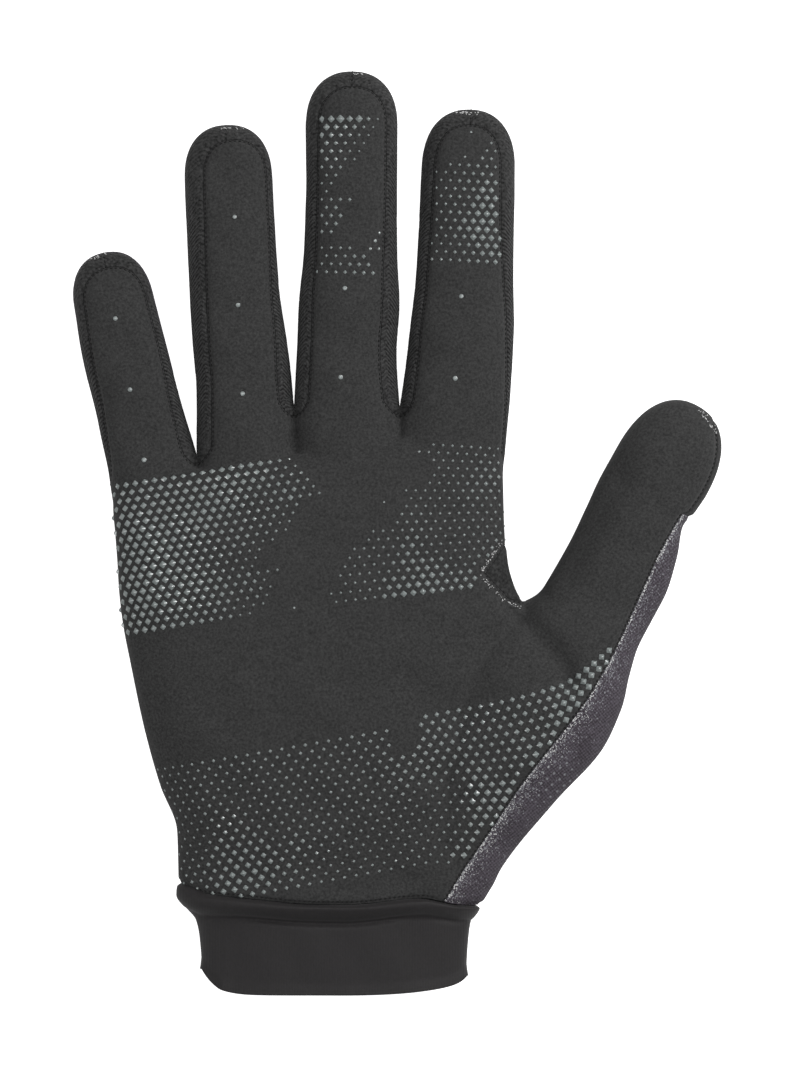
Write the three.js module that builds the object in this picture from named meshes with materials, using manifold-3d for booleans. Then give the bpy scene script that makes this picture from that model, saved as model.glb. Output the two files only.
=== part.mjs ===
// A long-fingered cycling glove for the right hand, lying on its back with the palm up.
// X runs across the hand towards the thumb, Y towards the fingertips, Z up out of the palm. Millimetres.
// The hand's outer form is one union of lofts, the hand's hollow is the same lofts set in by the wall,
// and the shell between them is cut along the sewn seams into the glove's panels.
import * as THREE from "three";
import { mergeVertices } from "three/addons/utils/BufferGeometryUtils.js";
import Module from "manifold-3d";

const wasm = await Module();
wasm.setup();

// Driving sizes
const WALL = 1.2; // one layer of cloth
const SEAM_GAP = 0.3; // left open between two panels at a seam
const PALM_WIDTH = 104; // across the knuckles
const PALM_LENGTH = 122; // from the wrist seam to the crotch of the ring finger
const PALM_THICKNESS = 25; // at the heel of the hand
const MIDDLE_LENGTH = 105.3; // the middle finger from its root to its tip
const THUMB_LENGTH = 144; // the thumb with its mound, from the wrist to its tip
const CUFF_LENGTH = 26; // from the wrist seam to the mouth
const MOUTH_RISE_LEFT = 6.6; // how far the mouth rises at the cuff's two sides
const MOUTH_RISE_RIGHT = 3.8;
const WRIST_SAG = 2; // how far the wrist seam sags below a straight line
const STRIP_WIDTH = 4; // side strip that shows beside a finger's palm panel
const TIP_STRIP_WIDTH = 4.2; // the same strip round a fingertip
const CROTCH_STRIP_WIDTH = 2.2; // the same strip in the crotch between two fingers
const THUMB_STRIP_WIDTH = 1.2; // tip patch that shows beside the thumb's palm side
const REST_FLAT = 1.2; // depth pressed flat where the glove rests
const BACK_SEAM_HEIGHT = 0.3 * PALM_THICKNESS; // of the seam between the back and the side strips

// How the cross-sections are shaped and faceted
const TRUNK_SIDES = 36;
const DIGIT_SIDES = 20;
const HOLLOW_SIDES_SHARE = 0.6;
const DOME_STEPS = 4;
const DIGIT_POWER = 2.3; // 2 makes an ellipse of a cross-section, and more makes it boxier
const ROOT_TAPER = 0.75; // how far a digit's first section is drawn in, inside the trunk
const MOUTH_STEPS = 16;
const MOUTH_POWERS = { left: 9, right: 2.7 }; // how sharply the mouth turns up at its two sides
const SEAM_STATIONS = [0.12, 0.2, 0.3, 0.42, 0.55, 0.7, 0.8]; // where a finger's seam is set out, along it
const THUMB_STATIONS = {
  inner: [0.58, 0.62, 0.7, 0.8, 0.86],
  strip: [0.985, 0.96, 0.93, 0.9, 0.86, 0.825],
  outer: [0.812, 0.76, 0.71, 0.66, 0.6, 0.53, 0.45, 0.38, 0.3, 0.22, 0.12, 0.05],
};
const STATION_SPACING = 0.03; // two stations lie at least this far apart
const OUTER_SEAM_START = 0.08; // its first station on the outer side of an outer finger
const CROTCH_CURVE = 4; // how far past a crotch's U the seams beside it start
const PAST_TIP = 1.15; // a share of a digit's length that lies beyond its tip
const PAST_ROOT = -0.2; // the same before its root
const FAR = 400; // reaches past the glove from anywhere in it
const POLE_WIDTH = 1e-3; // a section narrower than this is a single point

// The trunk: palm, wrist and cuff. at is a share of PALM_LENGTH above the wrist seam and of CUFF_LENGTH
// below it, left and right are shares of half of PALM_WIDTH, slant is how much further on the right side
// lies, top is a share of PALM_THICKNESS, and power is how boxy the section is.
const TRUNK = [
  { at: -1.4, left: -0.53, right: 0.798, slant: 0, top: 0.64, power: 2.5 },
  { at: -0.71, left: -0.54, right: 0.805, slant: 0, top: 0.66, power: 2.5 },
  { at: -0.41, left: -0.552, right: 0.815, slant: 0, top: 0.66, power: 2.5 },
  { at: -0.25, left: -0.57, right: 0.828, slant: 0, top: 0.66, power: 2.5 },
  { at: -0.1, left: -0.628, right: 0.87, slant: 0, top: 0.75, power: 2.5 },
  { at: 0, left: -0.652, right: 0.9, slant: 0, top: 0.77, power: 2.5 },
  { at: 0.035, left: -0.654, right: 0.92, slant: 0, top: 0.77, power: 2.6 },
  { at: 0.14, left: -0.66, right: 0.92, slant: 0, top: 0.86, power: 2.7 },
  { at: 0.238, left: -0.745, right: 0.92, slant: 0, top: 0.94, power: 2.8 },
  { at: 0.367, left: -0.828, right: 0.94, slant: 0, top: 1, power: 3 },
  { at: 0.497, left: -0.892, right: 1.01, slant: 0, top: 1, power: 3.2 },
  { at: 0.6, left: -0.938, right: 1.13, slant: 0, top: 0.97, power: 3.3 },
  { at: 0.66, left: -0.953, right: 1.05, slant: 0, top: 0.95, power: 3.4 },
  { at: 0.72, left: -0.962, right: 1.01, slant: 0, top: 0.92, power: 3.5 },
  { at: 0.8, left: -0.975, right: 0.994, slant: 0.02, top: 0.86, power: 3.6 },
  { at: 0.87, left: -0.985, right: 0.99, slant: 0.06, top: 0.79, power: 3.6 },
  { at: 0.93, left: -0.97, right: 0.965, slant: 0.1, top: 0.71, power: 3.4 },
  { at: 0.957, left: -0.88, right: 0.87, slant: 0.115, top: 0.6, power: 3 },
];

// The fingers. root is the axis's start, x in shares of half of PALM_WIDTH and y in shares of PALM_LENGTH.
// turn is the axis's lean towards the thumb in degrees. length is from the root to the tip, width and
// thickness are the finger's own, and dome is the length of its rounded tip.
// In a digit's rows at is a share of its length, left and right are shares of half its width, top is a
// share of its thickness, and seamLeft and seamRight are shares of STRIP_WIDTH in from the edge.
const FINGERS = [
  {
    name: "little",
    root: { x: -0.738, y: 0.843 },
    turn: -11.7,
    length: 0.65 * MIDDLE_LENGTH,
    width: 0.212 * PALM_WIDTH,
    thickness: 0.62 * PALM_THICKNESS,
    dome: 0.135 * PALM_WIDTH,
    rows: [
      { at: -0.2, left: -0.95, right: 0.8, top: 1, seamLeft: -0.6, seamRight: 0.9 },
      { at: 0.06, left: -1.14, right: 1.08, top: 1.02, seamLeft: -0.3, seamRight: 0.85 },
      { at: 0.2, left: -1.1, right: 1.02, top: 1, seamLeft: 0.2, seamRight: 0.8 },
      { at: 0.4, left: -1.11, right: 0.91, top: 0.97, seamLeft: 0.45, seamRight: 0.6 },
      { at: 0.6, left: -1.16, right: 0.85, top: 0.94, seamLeft: 0.62, seamRight: 0.42 },
      { at: 0.8, left: -1.11, right: 0.79, top: 0.9, seamLeft: 0.68, seamRight: 0.45 },
    ],
  },
  {
    name: "ring",
    root: { x: -0.294, y: 0.875 },
    turn: -2.7,
    length: 0.918 * MIDDLE_LENGTH,
    width: 0.231 * PALM_WIDTH,
    thickness: 0.66 * PALM_THICKNESS,
    dome: 0.135 * PALM_WIDTH,
    rows: [
      { at: -0.12, left: -0.9, right: 0.9, top: 1, seamLeft: 1, seamRight: 0.9 },
      { at: 0.06, left: -1.14, right: 1.08, top: 1.03, seamLeft: 1, seamRight: 0.9 },
      { at: 0.3, left: -1.07, right: 1.02, top: 1, seamLeft: 1.02, seamRight: 0.9 },
      { at: 0.4, left: -1.1, right: 0.96, top: 0.99, seamLeft: 1.05, seamRight: 0.7 },
      { at: 0.55, left: -1.12, right: 0.84, top: 0.96, seamLeft: 1.12, seamRight: 0.45 },
      { at: 0.72, left: -1.12, right: 0.805, top: 0.93, seamLeft: 1.2, seamRight: 0.33 },
      { at: 0.86, left: -1.11, right: 0.8, top: 0.88, seamLeft: 1.25, seamRight: 0.33 },
    ],
  },
  {
    name: "middle",
    root: { x: 0.192, y: 0.919 },
    turn: 0.9,
    length: MIDDLE_LENGTH,
    width: 0.24 * PALM_WIDTH,
    thickness: 0.68 * PALM_THICKNESS,
    dome: 0.14 * PALM_WIDTH,
    rows: [
      { at: -0.12, left: -0.9, right: 0.9, top: 1, seamLeft: 0.9, seamRight: 1 },
      { at: 0.08, left: -1.13, right: 1.15, top: 1.03, seamLeft: 0.9, seamRight: 1 },
      { at: 0.3, left: -1.07, right: 1.03, top: 1, seamLeft: 0.92, seamRight: 1.08 },
      { at: 0.41, left: -1.05, right: 1.075, top: 0.99, seamLeft: 0.88, seamRight: 1.1 },
      { at: 0.55, left: -0.955, right: 1.01, top: 0.96, seamLeft: 0.75, seamRight: 0.85 },
      { at: 0.72, left: -0.93, right: 0.98, top: 0.93, seamLeft: 0.72, seamRight: 0.7 },
      { at: 0.86, left: -0.96, right: 0.97, top: 0.88, seamLeft: 0.82, seamRight: 0.68 },
    ],
  },
  {
    name: "index",
    root: { x: 0.725, y: 0.897 },
    turn: 2.8,
    length: 0.931 * MIDDLE_LENGTH,
    width: 0.25 * PALM_WIDTH,
    thickness: 0.68 * PALM_THICKNESS,
    dome: 0.154 * PALM_WIDTH,
    rows: [
      { at: -0.15, left: -0.9, right: 1, top: 1, seamLeft: 0.8, seamRight: 0.1 },
      { at: 0.07, left: -1.17, right: 1.06, top: 1.03, seamLeft: 0.8, seamRight: 0.12 },
      { at: 0.3, left: -1.03, right: 1.12, top: 1, seamLeft: 0.75, seamRight: 0.3 },
      { at: 0.4, left: -0.98, right: 1.125, top: 0.99, seamLeft: 0.7, seamRight: 0.45 },
      { at: 0.55, left: -0.91, right: 1.06, top: 0.96, seamLeft: 0.7, seamRight: 0.62 },
      { at: 0.7, left: -0.9, right: 1.02, top: 0.93, seamLeft: 0.75, seamRight: 0.85 },
      { at: 0.84, left: -0.9, right: 0.98, top: 0.88, seamLeft: 0.8, seamRight: 0.9 },
    ],
  },
];

// The thumb with its mound, in the same columns. patchAt is where its tip patch starts, and seam is where
// the palm panel ends across it, as a share of half its width.
const THUMB = {
  name: "thumb",
  root: { x: 0.604, y: 0.032 },
  turn: 29.1,
  length: THUMB_LENGTH,
  width: 0.25 * PALM_WIDTH,
  thickness: 0.76 * PALM_THICKNESS,
  dome: 0.19 * PALM_WIDTH,
  patchAt: 0.815,
  rows: [
    { at: -0.06, left: -0.7, right: 0.9, top: 0.95, seam: 0.44 },
    { at: 0.05, left: -0.95, right: 1.14, top: 0.98, seam: 0.52 },
    { at: 0.12, left: -1.2, right: 1.22, top: 1.08, seam: 0.59 },
    { at: 0.24, left: -1.5, right: 1.47, top: 1.25, seam: 0.7 },
    { at: 0.38, left: -1.6, right: 1.8, top: 1.33, seam: 0.94 },
    { at: 0.45, left: -1.5, right: 1.73, top: 1.3, seam: 1.03 },
    { at: 0.51, left: -1.2, right: 1.54, top: 1.22, seam: 1.04 },
    { at: 0.57, left: -0.82, right: 1.41, top: 1.13, seam: 1.01 },
    { at: 0.66, left: -0.8, right: 1.4, top: 1.05, seam: 0.93 },
    { at: 0.74, left: -0.85, right: 1.23, top: 1.02, seam: 0.87 },
    { at: 0.805, left: -0.9, right: 1.01, top: 1, seam: 0.88 },
    { at: 0.815, left: -0.9, right: 1.08, top: 1, seam: 0.9 },
    { at: 0.86, left: -0.9, right: 1.14, top: 0.98, seam: 0.95 },
  ],
};

// The wrist seam in plan: across in shares of half of PALM_WIDTH, sag in shares of WRIST_SAG.
const WRIST_SEAM = [
  { across: -2, sag: -1.9 },
  { across: -0.66, sag: -1.8 },
  { across: -0.61, sag: -1.4 },
  { across: -0.53, sag: -0.4 },
  { across: -0.3, sag: 0.2 },
  { across: 0, sag: 0.9 },
  { across: 0.2, sag: 1 },
  { across: 0.58, sag: 0.15 },
  { across: 0.66, sag: 0.5 },
  { across: 0.76, sag: 1.05 },
  { across: 0.95, sag: 1.3 },
  { across: 3, sag: 1.3 },
];

// The triangular gusset in the thumb's web. Two of its corners are on the palm, in shares of half of
// PALM_WIDTH and of PALM_LENGTH, and the others go with the thumb, in shares of its length and half its width.
const GUSSET_ON_PALM = [
  { x: 1.012, y: 0.765 },
  { x: 0.898, y: 0.696 },
];
const GUSSET_ON_THUMB = [
  { at: 0.524, across: -1.348 },
  { at: 0.53, across: -1.066 },
  { at: 0.559, across: -1.178 },
];
const GUSSET_OUTSIDE = { x: 1.17, y: 0.765 };
const BESIDE_INDEX = 1.2; // a share of half of PALM_WIDTH that lies between the index finger and the thumb

const halfPalm = PALM_WIDTH / 2;
const backLevel = -REST_FLAT;

// Reads one column of a table between its rows, along a smooth curve that never passes a row's own value.
function column(rows, name, at, key = "at") {
  const last = rows.length - 1;
  if (at <= rows[0][key]) return rows[0][name];
  if (at >= rows[last][key]) return rows[last][name];
  const slopeAfter = (i) => (rows[i + 1][name] - rows[i][name]) / (rows[i + 1][key] - rows[i][key]);
  const tangent = (i) => {
    if (i === 0) return slopeAfter(0);
    if (i === last) return slopeAfter(last - 1);
    const [before, after] = [slopeAfter(i - 1), slopeAfter(i)];
    return before * after <= 0 ? 0 : (2 * before * after) / (before + after);
  };
  let i = 0;
  while (at > rows[i + 1][key]) i += 1;
  const span = rows[i + 1][key] - rows[i][key];
  const t = (at - rows[i][key]) / span;
  const [t2, t3] = [t * t, t * t * t];
  return (
    (2 * t3 - 3 * t2 + 1) * rows[i][name] +
    (t3 - 2 * t2 + t) * span * tangent(i) +
    (3 * t2 - 2 * t3) * rows[i + 1][name] +
    (t3 - t2) * span * tangent(i + 1)
  );
}

// A digit's own frame in plan: its root and unit vectors along and across it.
function frameOf(digit) {
  const turn = THREE.MathUtils.degToRad(digit.turn);
  return {
    root: new THREE.Vector2(digit.root.x * halfPalm, digit.root.y * PALM_LENGTH),
    along: new THREE.Vector2(Math.sin(turn), Math.cos(turn)),
    across: new THREE.Vector2(Math.cos(turn), -Math.sin(turn)),
  };
}

// The plan point that lies at a share of a digit's length and a distance across it.
function onDigit(digit, at, distance) {
  const { root, along, across } = frameOf(digit);
  return root.clone().addScaledVector(along, at * digit.length).addScaledVector(across, distance);
}

// One cross-section of a digit: its middle and half width across, low and top heights. The rounded tip
// follows a superellipse, and inset sets the whole section in by a wall.
function digitSection(digit, at, inset = 0) {
  const length = digit.length - inset;
  const domeStart = 1 - digit.dome / digit.length;
  const left = column(digit.rows, "left", at) * (digit.width / 2) + inset;
  const right = column(digit.rows, "right", at) * (digit.width / 2) - inset;
  const top = column(digit.rows, "top", at) * digit.thickness - inset;
  const low = backLevel + inset;
  const reach = ((at - domeStart) * digit.length) / (length - domeStart * digit.length);
  const dome = at <= domeStart ? 1 : Math.max(0, 1 - reach ** DIGIT_POWER) ** (1 / DIGIT_POWER);
  const shrink = at === digit.rows[0].at ? ROOT_TAPER : dome;
  const middle = (top + low) / 2;
  return {
    at,
    middle: (left + right) / 2,
    half: ((right - left) / 2) * shrink,
    low: middle - (middle - low) * shrink,
    top: middle + (top - middle) * shrink,
    power: DIGIT_POWER,
  };
}

// The shares of a digit's length where it is cut into sections: its rows, then steps round the tip.
function digitStations(digit, inset = 0) {
  const domeStart = 1 - digit.dome / digit.length;
  const end = 1 - inset / digit.length;
  const shaft = digit.rows.map((row) => row.at).filter((at) => at < domeStart);
  const dome = Array.from({ length: DOME_STEPS + 1 }, (_, i) => {
    return domeStart + (end - domeStart) * Math.sin((i / DOME_STEPS) * (Math.PI / 2));
  });
  return [...shaft, ...dome];
}

// A closed loft through sections of centre, across, half, low, top and power, where a section with no
// width is a pole.
function loft(sections, sides) {
  const positions = [];
  const triangles = [];
  const rings = sections.map(({ centre, across, half, low, top, power }) => {
    const first = positions.length / 3;
    const middle = (low + top) / 2;
    const count = half < POLE_WIDTH ? 1 : sides;
    for (let i = 0; i < count; i += 1) {
      const angle = (i / sides) * 2 * Math.PI;
      const round = (value) => Math.sign(value) * Math.abs(value) ** (2 / power);
      const out = count === 1 ? 0 : half * round(Math.cos(angle));
      const up = count === 1 ? 0 : ((top - low) / 2) * round(Math.sin(angle));
      positions.push(centre.x + across.x * out, centre.y + across.y * out, middle + up);
    }
    return { first, count };
  });
  const close = (ring, reversed) => {
    if (ring.count === 1) return;
    for (let i = 1; i < ring.count - 1; i += 1) {
      const [a, b] = reversed ? [i + 1, i] : [i, i + 1];
      triangles.push(ring.first, ring.first + a, ring.first + b);
    }
  };
  for (let r = 0; r < rings.length - 1; r += 1) {
    const [near, far] = [rings[r], rings[r + 1]];
    for (let i = 0; i < sides; i += 1) {
      const next = (i + 1) % sides;
      const [a, b] = [near.first + i, near.first + next];
      if (far.count === 1) triangles.push(a, far.first, b);
      else triangles.push(a, far.first + i, far.first + next, a, far.first + next, b);
    }
  }
  close(rings[0], false);
  close(rings[rings.length - 1], true);
  const solid = new wasm.Manifold(
    new wasm.Mesh({
      numProp: 3,
      vertProperties: new Float32Array(positions),
      triVerts: new Uint32Array(triangles),
    }),
  );
  if (solid.volume() <= 0) throw new Error("a loft is inside out");
  return solid;
}

// The trunk as a loft, set in by inset.
function trunkLoft(inset) {
  const sections = TRUNK.map((row, i) => {
    const y = row.at * (row.at < 0 ? CUFF_LENGTH : PALM_LENGTH) - (i === TRUNK.length - 1 ? inset : 0);
    const slant = (row.slant / 2) * PALM_LENGTH;
    const left = new THREE.Vector2(row.left * halfPalm + inset, y - slant);
    const right = new THREE.Vector2(row.right * halfPalm - inset, y + slant);
    return {
      centre: left.clone().add(right).multiplyScalar(0.5),
      across: right.clone().sub(left).normalize(),
      half: right.distanceTo(left) / 2,
      low: backLevel + inset,
      top: row.top * PALM_THICKNESS - inset,
      power: row.power,
    };
  });
  return loft(sections, inset ? Math.round(TRUNK_SIDES * HOLLOW_SIDES_SHARE) : TRUNK_SIDES);
}

// One digit as a loft, set in by inset.
function digitLoft(digit, inset) {
  const { across } = frameOf(digit);
  const sections = digitStations(digit, inset).map((at) => {
    const section = digitSection(digit, at, inset);
    return { ...section, centre: onDigit(digit, at, section.middle), across };
  });
  return loft(sections, inset ? Math.round(DIGIT_SIDES * HOLLOW_SIDES_SHARE) : DIGIT_SIDES);
}

// A closed three.js geometry as a solid.
function solidOf(geometry) {
  const bare = geometry.index ? geometry.toNonIndexed() : geometry.clone();
  bare.deleteAttribute("normal");
  bare.deleteAttribute("uv");
  const merged = mergeVertices(bare, 1e-4);
  return new wasm.Manifold(
    new wasm.Mesh({
      numProp: 3,
      vertProperties: merged.attributes.position.array,
      triVerts: new Uint32Array(merged.index.array),
    }),
  );
}

// An upright prism on a plan outline, from low to high.
function prism(outline, low, high) {
  const options = { depth: high - low, bevelEnabled: false, curveSegments: 1 };
  const geometry = new THREE.ExtrudeGeometry(new THREE.Shape(outline), options);
  geometry.translate(0, 0, low);
  return solidOf(geometry);
}

// A closed plan outline moved outwards by a small distance, which is negative to move inwards.
function grown(outline, distance) {
  const turn = Math.sign(THREE.ShapeUtils.area(outline));
  return outline.map((point, i) => {
    const before = outline[(i + outline.length - 1) % outline.length];
    const after = outline[(i + 1) % outline.length];
    const direction = after.clone().sub(before).normalize();
    return new THREE.Vector2(point.x + turn * direction.y * distance, point.y - turn * direction.x * distance);
  });
}

// Points along one side of a finger's palm seam.
function seamSide(digit, side, stations) {
  return stations.map((at) => {
    const edge = column(digit.rows, side, at) * (digit.width / 2);
    const inward = column(digit.rows, side === "left" ? "seamLeft" : "seamRight", at) * STRIP_WIDTH;
    return onDigit(digit, at, side === "left" ? edge + inward : edge - inward);
  });
}

// The lowest point of the palm seam's U between a finger and the next one, a strip's width below the
// crotch where their two forms part.
function seamCrotch(finger, next) {
  const crotch = digitLoft(finger, 0).intersect(digitLoft(next, 0)).boundingBox().max[1];
  const { root, along } = frameOf(finger);
  const at = (crotch - root.y) / (along.y * finger.length);
  const edge = onDigit(finger, at, (column(finger.rows, "right", at) * finger.width) / 2);
  return new THREE.Vector2(edge.x, crotch - CROTCH_STRIP_WIDTH);
}

// The palm seam round a finger: up its left side, round the tip and down its right side. Beside a crotch
// it starts a little past the U, and outside the outer fingers it starts near their root.
function fingerSeam(digit, crotchBefore, crotchAfter) {
  const domeStart = 1 - digit.dome / digit.length;
  const { root, along } = frameOf(digit);
  const stations = (crotch) => {
    const above = (point) => (point.clone().sub(root).dot(along) + CROTCH_CURVE) / digit.length;
    const past = crotch ? above(crotch) : OUTER_SEAM_START;
    const between = (at) => at > past + STATION_SPACING && at < domeStart - STATION_SPACING;
    return [past, ...SEAM_STATIONS.filter(between), domeStart];
  };
  const left = seamSide(digit, "left", stations(crotchBefore));
  const right = seamSide(digit, "right", stations(crotchAfter));
  const [from, to] = [left[left.length - 1], right[right.length - 1]];
  const middle = from.clone().add(to).multiplyScalar(0.5);
  const half = to.clone().sub(from).multiplyScalar(0.5);
  const rise = digit.dome - TIP_STRIP_WIDTH;
  const steps = 2 * DOME_STEPS;
  const tip = Array.from({ length: steps - 1 }, (_, i) => {
    const angle = ((i + 1) / steps) * Math.PI;
    const round = (value) => Math.sign(value) * Math.abs(value) ** (2 / DIGIT_POWER);
    return middle
      .clone()
      .addScaledVector(half, -round(Math.cos(angle)))
      .addScaledVector(along, rise * round(Math.sin(angle)));
  });
  return [...left, ...tip, ...right.reverse()];
}

const palmShare = ({ x, y }) => new THREE.Vector2(x * halfPalm, y * PALM_LENGTH);
const onThumb = ({ at, across }) => onDigit(THUMB, at, across * (THUMB.width / 2));

// The thumb's palm panel: round the outside of its inner edge and tip, where the cloth wraps round, then
// back along the seam with the tip patch and the back panel.
function thumbSeam() {
  const half = THUMB.width / 2;
  const inner = THUMB_STATIONS.inner.map((at) => {
    return onDigit(THUMB, at, column(THUMB.rows, "left", at) * half - STRIP_WIDTH);
  });
  const crown = [-half / 2, half / 3].map((distance) => onDigit(THUMB, PAST_TIP, distance));
  const strip = THUMB_STATIONS.strip.map((at) => {
    const section = digitSection(THUMB, at);
    return onDigit(THUMB, at, section.middle + section.half - THUMB_STRIP_WIDTH);
  });
  const outer = [...THUMB_STATIONS.outer, PAST_ROOT].map((at) => {
    return onDigit(THUMB, at, column(THUMB.rows, "seam", at) * half);
  });
  return [...inner, ...crown, ...strip, ...outer];
}

// The palm panel's whole outline in plan, clockwise from the outer end of the wrist seam.
function palmOutline() {
  const outside = -PALM_WIDTH;
  const points = [new THREE.Vector2(outside, 0.5 * PALM_LENGTH)];
  const crotches = FINGERS.slice(1).map((next, i) => seamCrotch(FINGERS[i], next));
  FINGERS.forEach((finger, i) => {
    points.push(...fingerSeam(finger, crotches[i - 1], crotches[i]));
    if (crotches[i]) points.push(crotches[i]);
  });
  points.push(...GUSSET_ON_PALM.map(palmShare), ...GUSSET_ON_THUMB.map(onThumb), ...thumbSeam());
  points.push(new THREE.Vector2(outside, PAST_ROOT * PALM_LENGTH));
  return points;
}

// A plan zone that holds the side strip between the axes of two fingers.
function zoneBetween(finger, next) {
  return [...axisUp(finger), ...axisUp(next).reverse()];
}

// The same beside the little finger, whose strip has the hand's edge on its other side.
function zoneBesideLittle(finger) {
  const outside = -2 * finger.width;
  return [onDigit(finger, PAST_TIP, outside), onDigit(finger, 0, outside), ...axisUp(finger)];
}

// The same beside the index finger, down to the gusset and clear of the thumb.
function zoneBesideIndex(finger) {
  const low = palmShare(GUSSET_ON_PALM[0]).y + SEAM_GAP;
  const [root, ...rest] = axisUp(finger);
  const beside = new THREE.Vector2(BESIDE_INDEX * halfPalm, low);
  return [new THREE.Vector2(root.x, low), ...rest, onDigit(finger, PAST_TIP, finger.width), beside];
}

// A finger's axis in plan, from its root past the middle of its tip.
function axisUp(finger) {
  const domeStart = 1 - finger.dome / finger.length;
  const { middle } = digitSection(finger, domeStart);
  const shaft = onDigit(finger, domeStart - STATION_SPACING, middle);
  return [onDigit(finger, 0, 0), shaft, onDigit(finger, PAST_TIP, middle)];
}

// The hand's outer form set in by inset, with its back pressed flat.
function handForm(inset) {
  const lofts = [trunkLoft(inset), ...[...FINGERS, THUMB].map((digit) => digitLoft(digit, inset))];
  const united = lofts.reduce((sum, solid) => sum.add(solid));
  const box = new THREE.BoxGeometry(FAR, 2 * FAR, FAR);
  box.translate(0, 0, FAR / 2 + inset);
  return united.intersect(solidOf(box));
}

// The region beyond the cuff's mouth, whose edge curves up at both corners.
function beyondMouth() {
  const { left, right } = TRUNK[0];
  const mouth = Array.from({ length: MOUTH_STEPS + 1 }, (_, i) => {
    const share = (2 * i) / MOUTH_STEPS - 1;
    const rise =
      share < 0
        ? MOUTH_RISE_LEFT * (-share) ** MOUTH_POWERS.left
        : MOUTH_RISE_RIGHT * share ** MOUTH_POWERS.right;
    const x = ((left + right) / 2 + (share * (right - left)) / 2) * halfPalm;
    return new THREE.Vector2(x, rise - CUFF_LENGTH);
  });
  const outline = [
    new THREE.Vector2(-FAR, mouth[0].y),
    ...mouth,
    new THREE.Vector2(FAR, mouth[MOUTH_STEPS].y),
    new THREE.Vector2(FAR, -FAR),
    new THREE.Vector2(-FAR, -FAR),
  ];
  return prism(outline, -FAR, FAR);
}

// Everything on the fingers' side of the wrist seam, moved towards the fingers by shift.
function aboveWrist(shift) {
  const seam = WRIST_SEAM.map(({ across, sag }) => {
    return new THREE.Vector2(across * halfPalm, shift - sag * WRIST_SAG);
  });
  return prism([...seam, new THREE.Vector2(FAR, FAR), new THREE.Vector2(-FAR, FAR)], -FAR, FAR);
}

// The shell, cut at the wrist seam, round the palm panel and between the strips
const outer = handForm(0).subtract(beyondMouth());
const shell = outer.subtract(handForm(WALL));
const hand = shell.intersect(aboveWrist(SEAM_GAP / 2));
const cuffShell = shell.subtract(aboveWrist(-SEAM_GAP / 2));

const palmPlan = palmOutline();
const palmZone = prism(grown(palmPlan, -SEAM_GAP / 2), BACK_SEAM_HEIGHT + SEAM_GAP / 2, FAR);
const palmZoneWithGap = prism(grown(palmPlan, SEAM_GAP / 2), BACK_SEAM_HEIGHT - SEAM_GAP / 2, FAR);

const [little, ring, middle, index] = FINGERS;
const stripPlans = {
  side_strip_little: zoneBesideLittle(little),
  fourchette_little_ring: zoneBetween(little, ring),
  fourchette_ring_middle: zoneBetween(ring, middle),
  fourchette_middle_index: zoneBetween(middle, index),
  side_strip_index: zoneBesideIndex(index),
  thumb_web_gusset: [
    ...GUSSET_ON_PALM.map(palmShare),
    ...GUSSET_ON_THUMB.map(onThumb),
    palmShare(GUSSET_OUTSIDE),
  ],
};
const patchPlan = [
  onDigit(THUMB, THUMB.patchAt, -THUMB.width),
  onDigit(THUMB, PAST_TIP, -THUMB.width),
  onDigit(THUMB, PAST_TIP, THUMB.width),
  onDigit(THUMB, THUMB.patchAt, THUMB.width),
];

const besidePalm = hand.subtract(palmZoneWithGap);
const panels = { palm_panel: hand.intersect(palmZone) };
let back = besidePalm;
Object.entries(stripPlans).forEach(([name, plan]) => {
  const zone = prism(grown(plan, -SEAM_GAP / 2), BACK_SEAM_HEIGHT + SEAM_GAP / 2, FAR);
  panels[name] = besidePalm.intersect(zone);
  back = back.subtract(prism(grown(plan, SEAM_GAP / 2), BACK_SEAM_HEIGHT - SEAM_GAP / 2, FAR));
});
panels.thumb_tip_patch = besidePalm.intersect(prism(grown(patchPlan, -SEAM_GAP / 2), -FAR, FAR));
panels.back_panel = back.subtract(prism(grown(patchPlan, SEAM_GAP / 2), -FAR, FAR));
panels.cuff = cuffShell;

// Colours and finishes, one for each kind of cloth
const cloth = (colour, roughness) => new THREE.MeshStandardMaterial({ color: colour, roughness, metalness: 0 });
const suede = () => cloth(0x393939, 0.92);
const sideKnit = () => cloth(0x303030, 0.85);
const backKnit = () => cloth(0x4a454a, 0.88);
const cuffJersey = () => cloth(0x373637, 0.7);
const finishes = { palm_panel: suede, thumb_tip_patch: suede, back_panel: backKnit, cuff: cuffJersey };

// A solid as a named three.js mesh.
function meshOf(name, solid) {
  const { vertProperties, triVerts, numProp } = solid.getMesh();
  const geometry = new THREE.BufferGeometry();
  const positions = new Float32Array((vertProperties.length / numProp) * 3);
  for (let i = 0; i < positions.length / 3; i += 1) {
    positions.set(vertProperties.subarray(i * numProp, i * numProp + 3), i * 3);
  }
  geometry.setAttribute("position", new THREE.BufferAttribute(positions, 3));
  geometry.setIndex(new THREE.BufferAttribute(triVerts, 1));
  geometry.computeVertexNormals();
  const mesh = new THREE.Mesh(geometry, (finishes[name] ?? sideKnit)());
  mesh.name = name;
  return mesh;
}

const glove = new THREE.Group();
Object.entries(panels).forEach(([name, solid]) => glove.add(meshOf(name, solid)));

// The origin is the middle of the glove's footprint, on the surface that it lies on.
const { min, max } = outer.boundingBox();
glove.position.set(-(min[0] + max[0]) / 2, -(min[1] + max[1]) / 2, -min[2]);

export default glove;
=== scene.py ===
"""A long-fingered cycling glove for the right hand, lying on its back with the palm up.

Plan points and sizes are in millimetres in the row's frame, and a mesh is written in metres.
"""

import logging
import math
from dataclasses import dataclass, field
from enum import Enum
from typing import Sequence

import bpy
import numpy as np
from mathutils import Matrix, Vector
from mathutils.bvhtree import BVHTree


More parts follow.
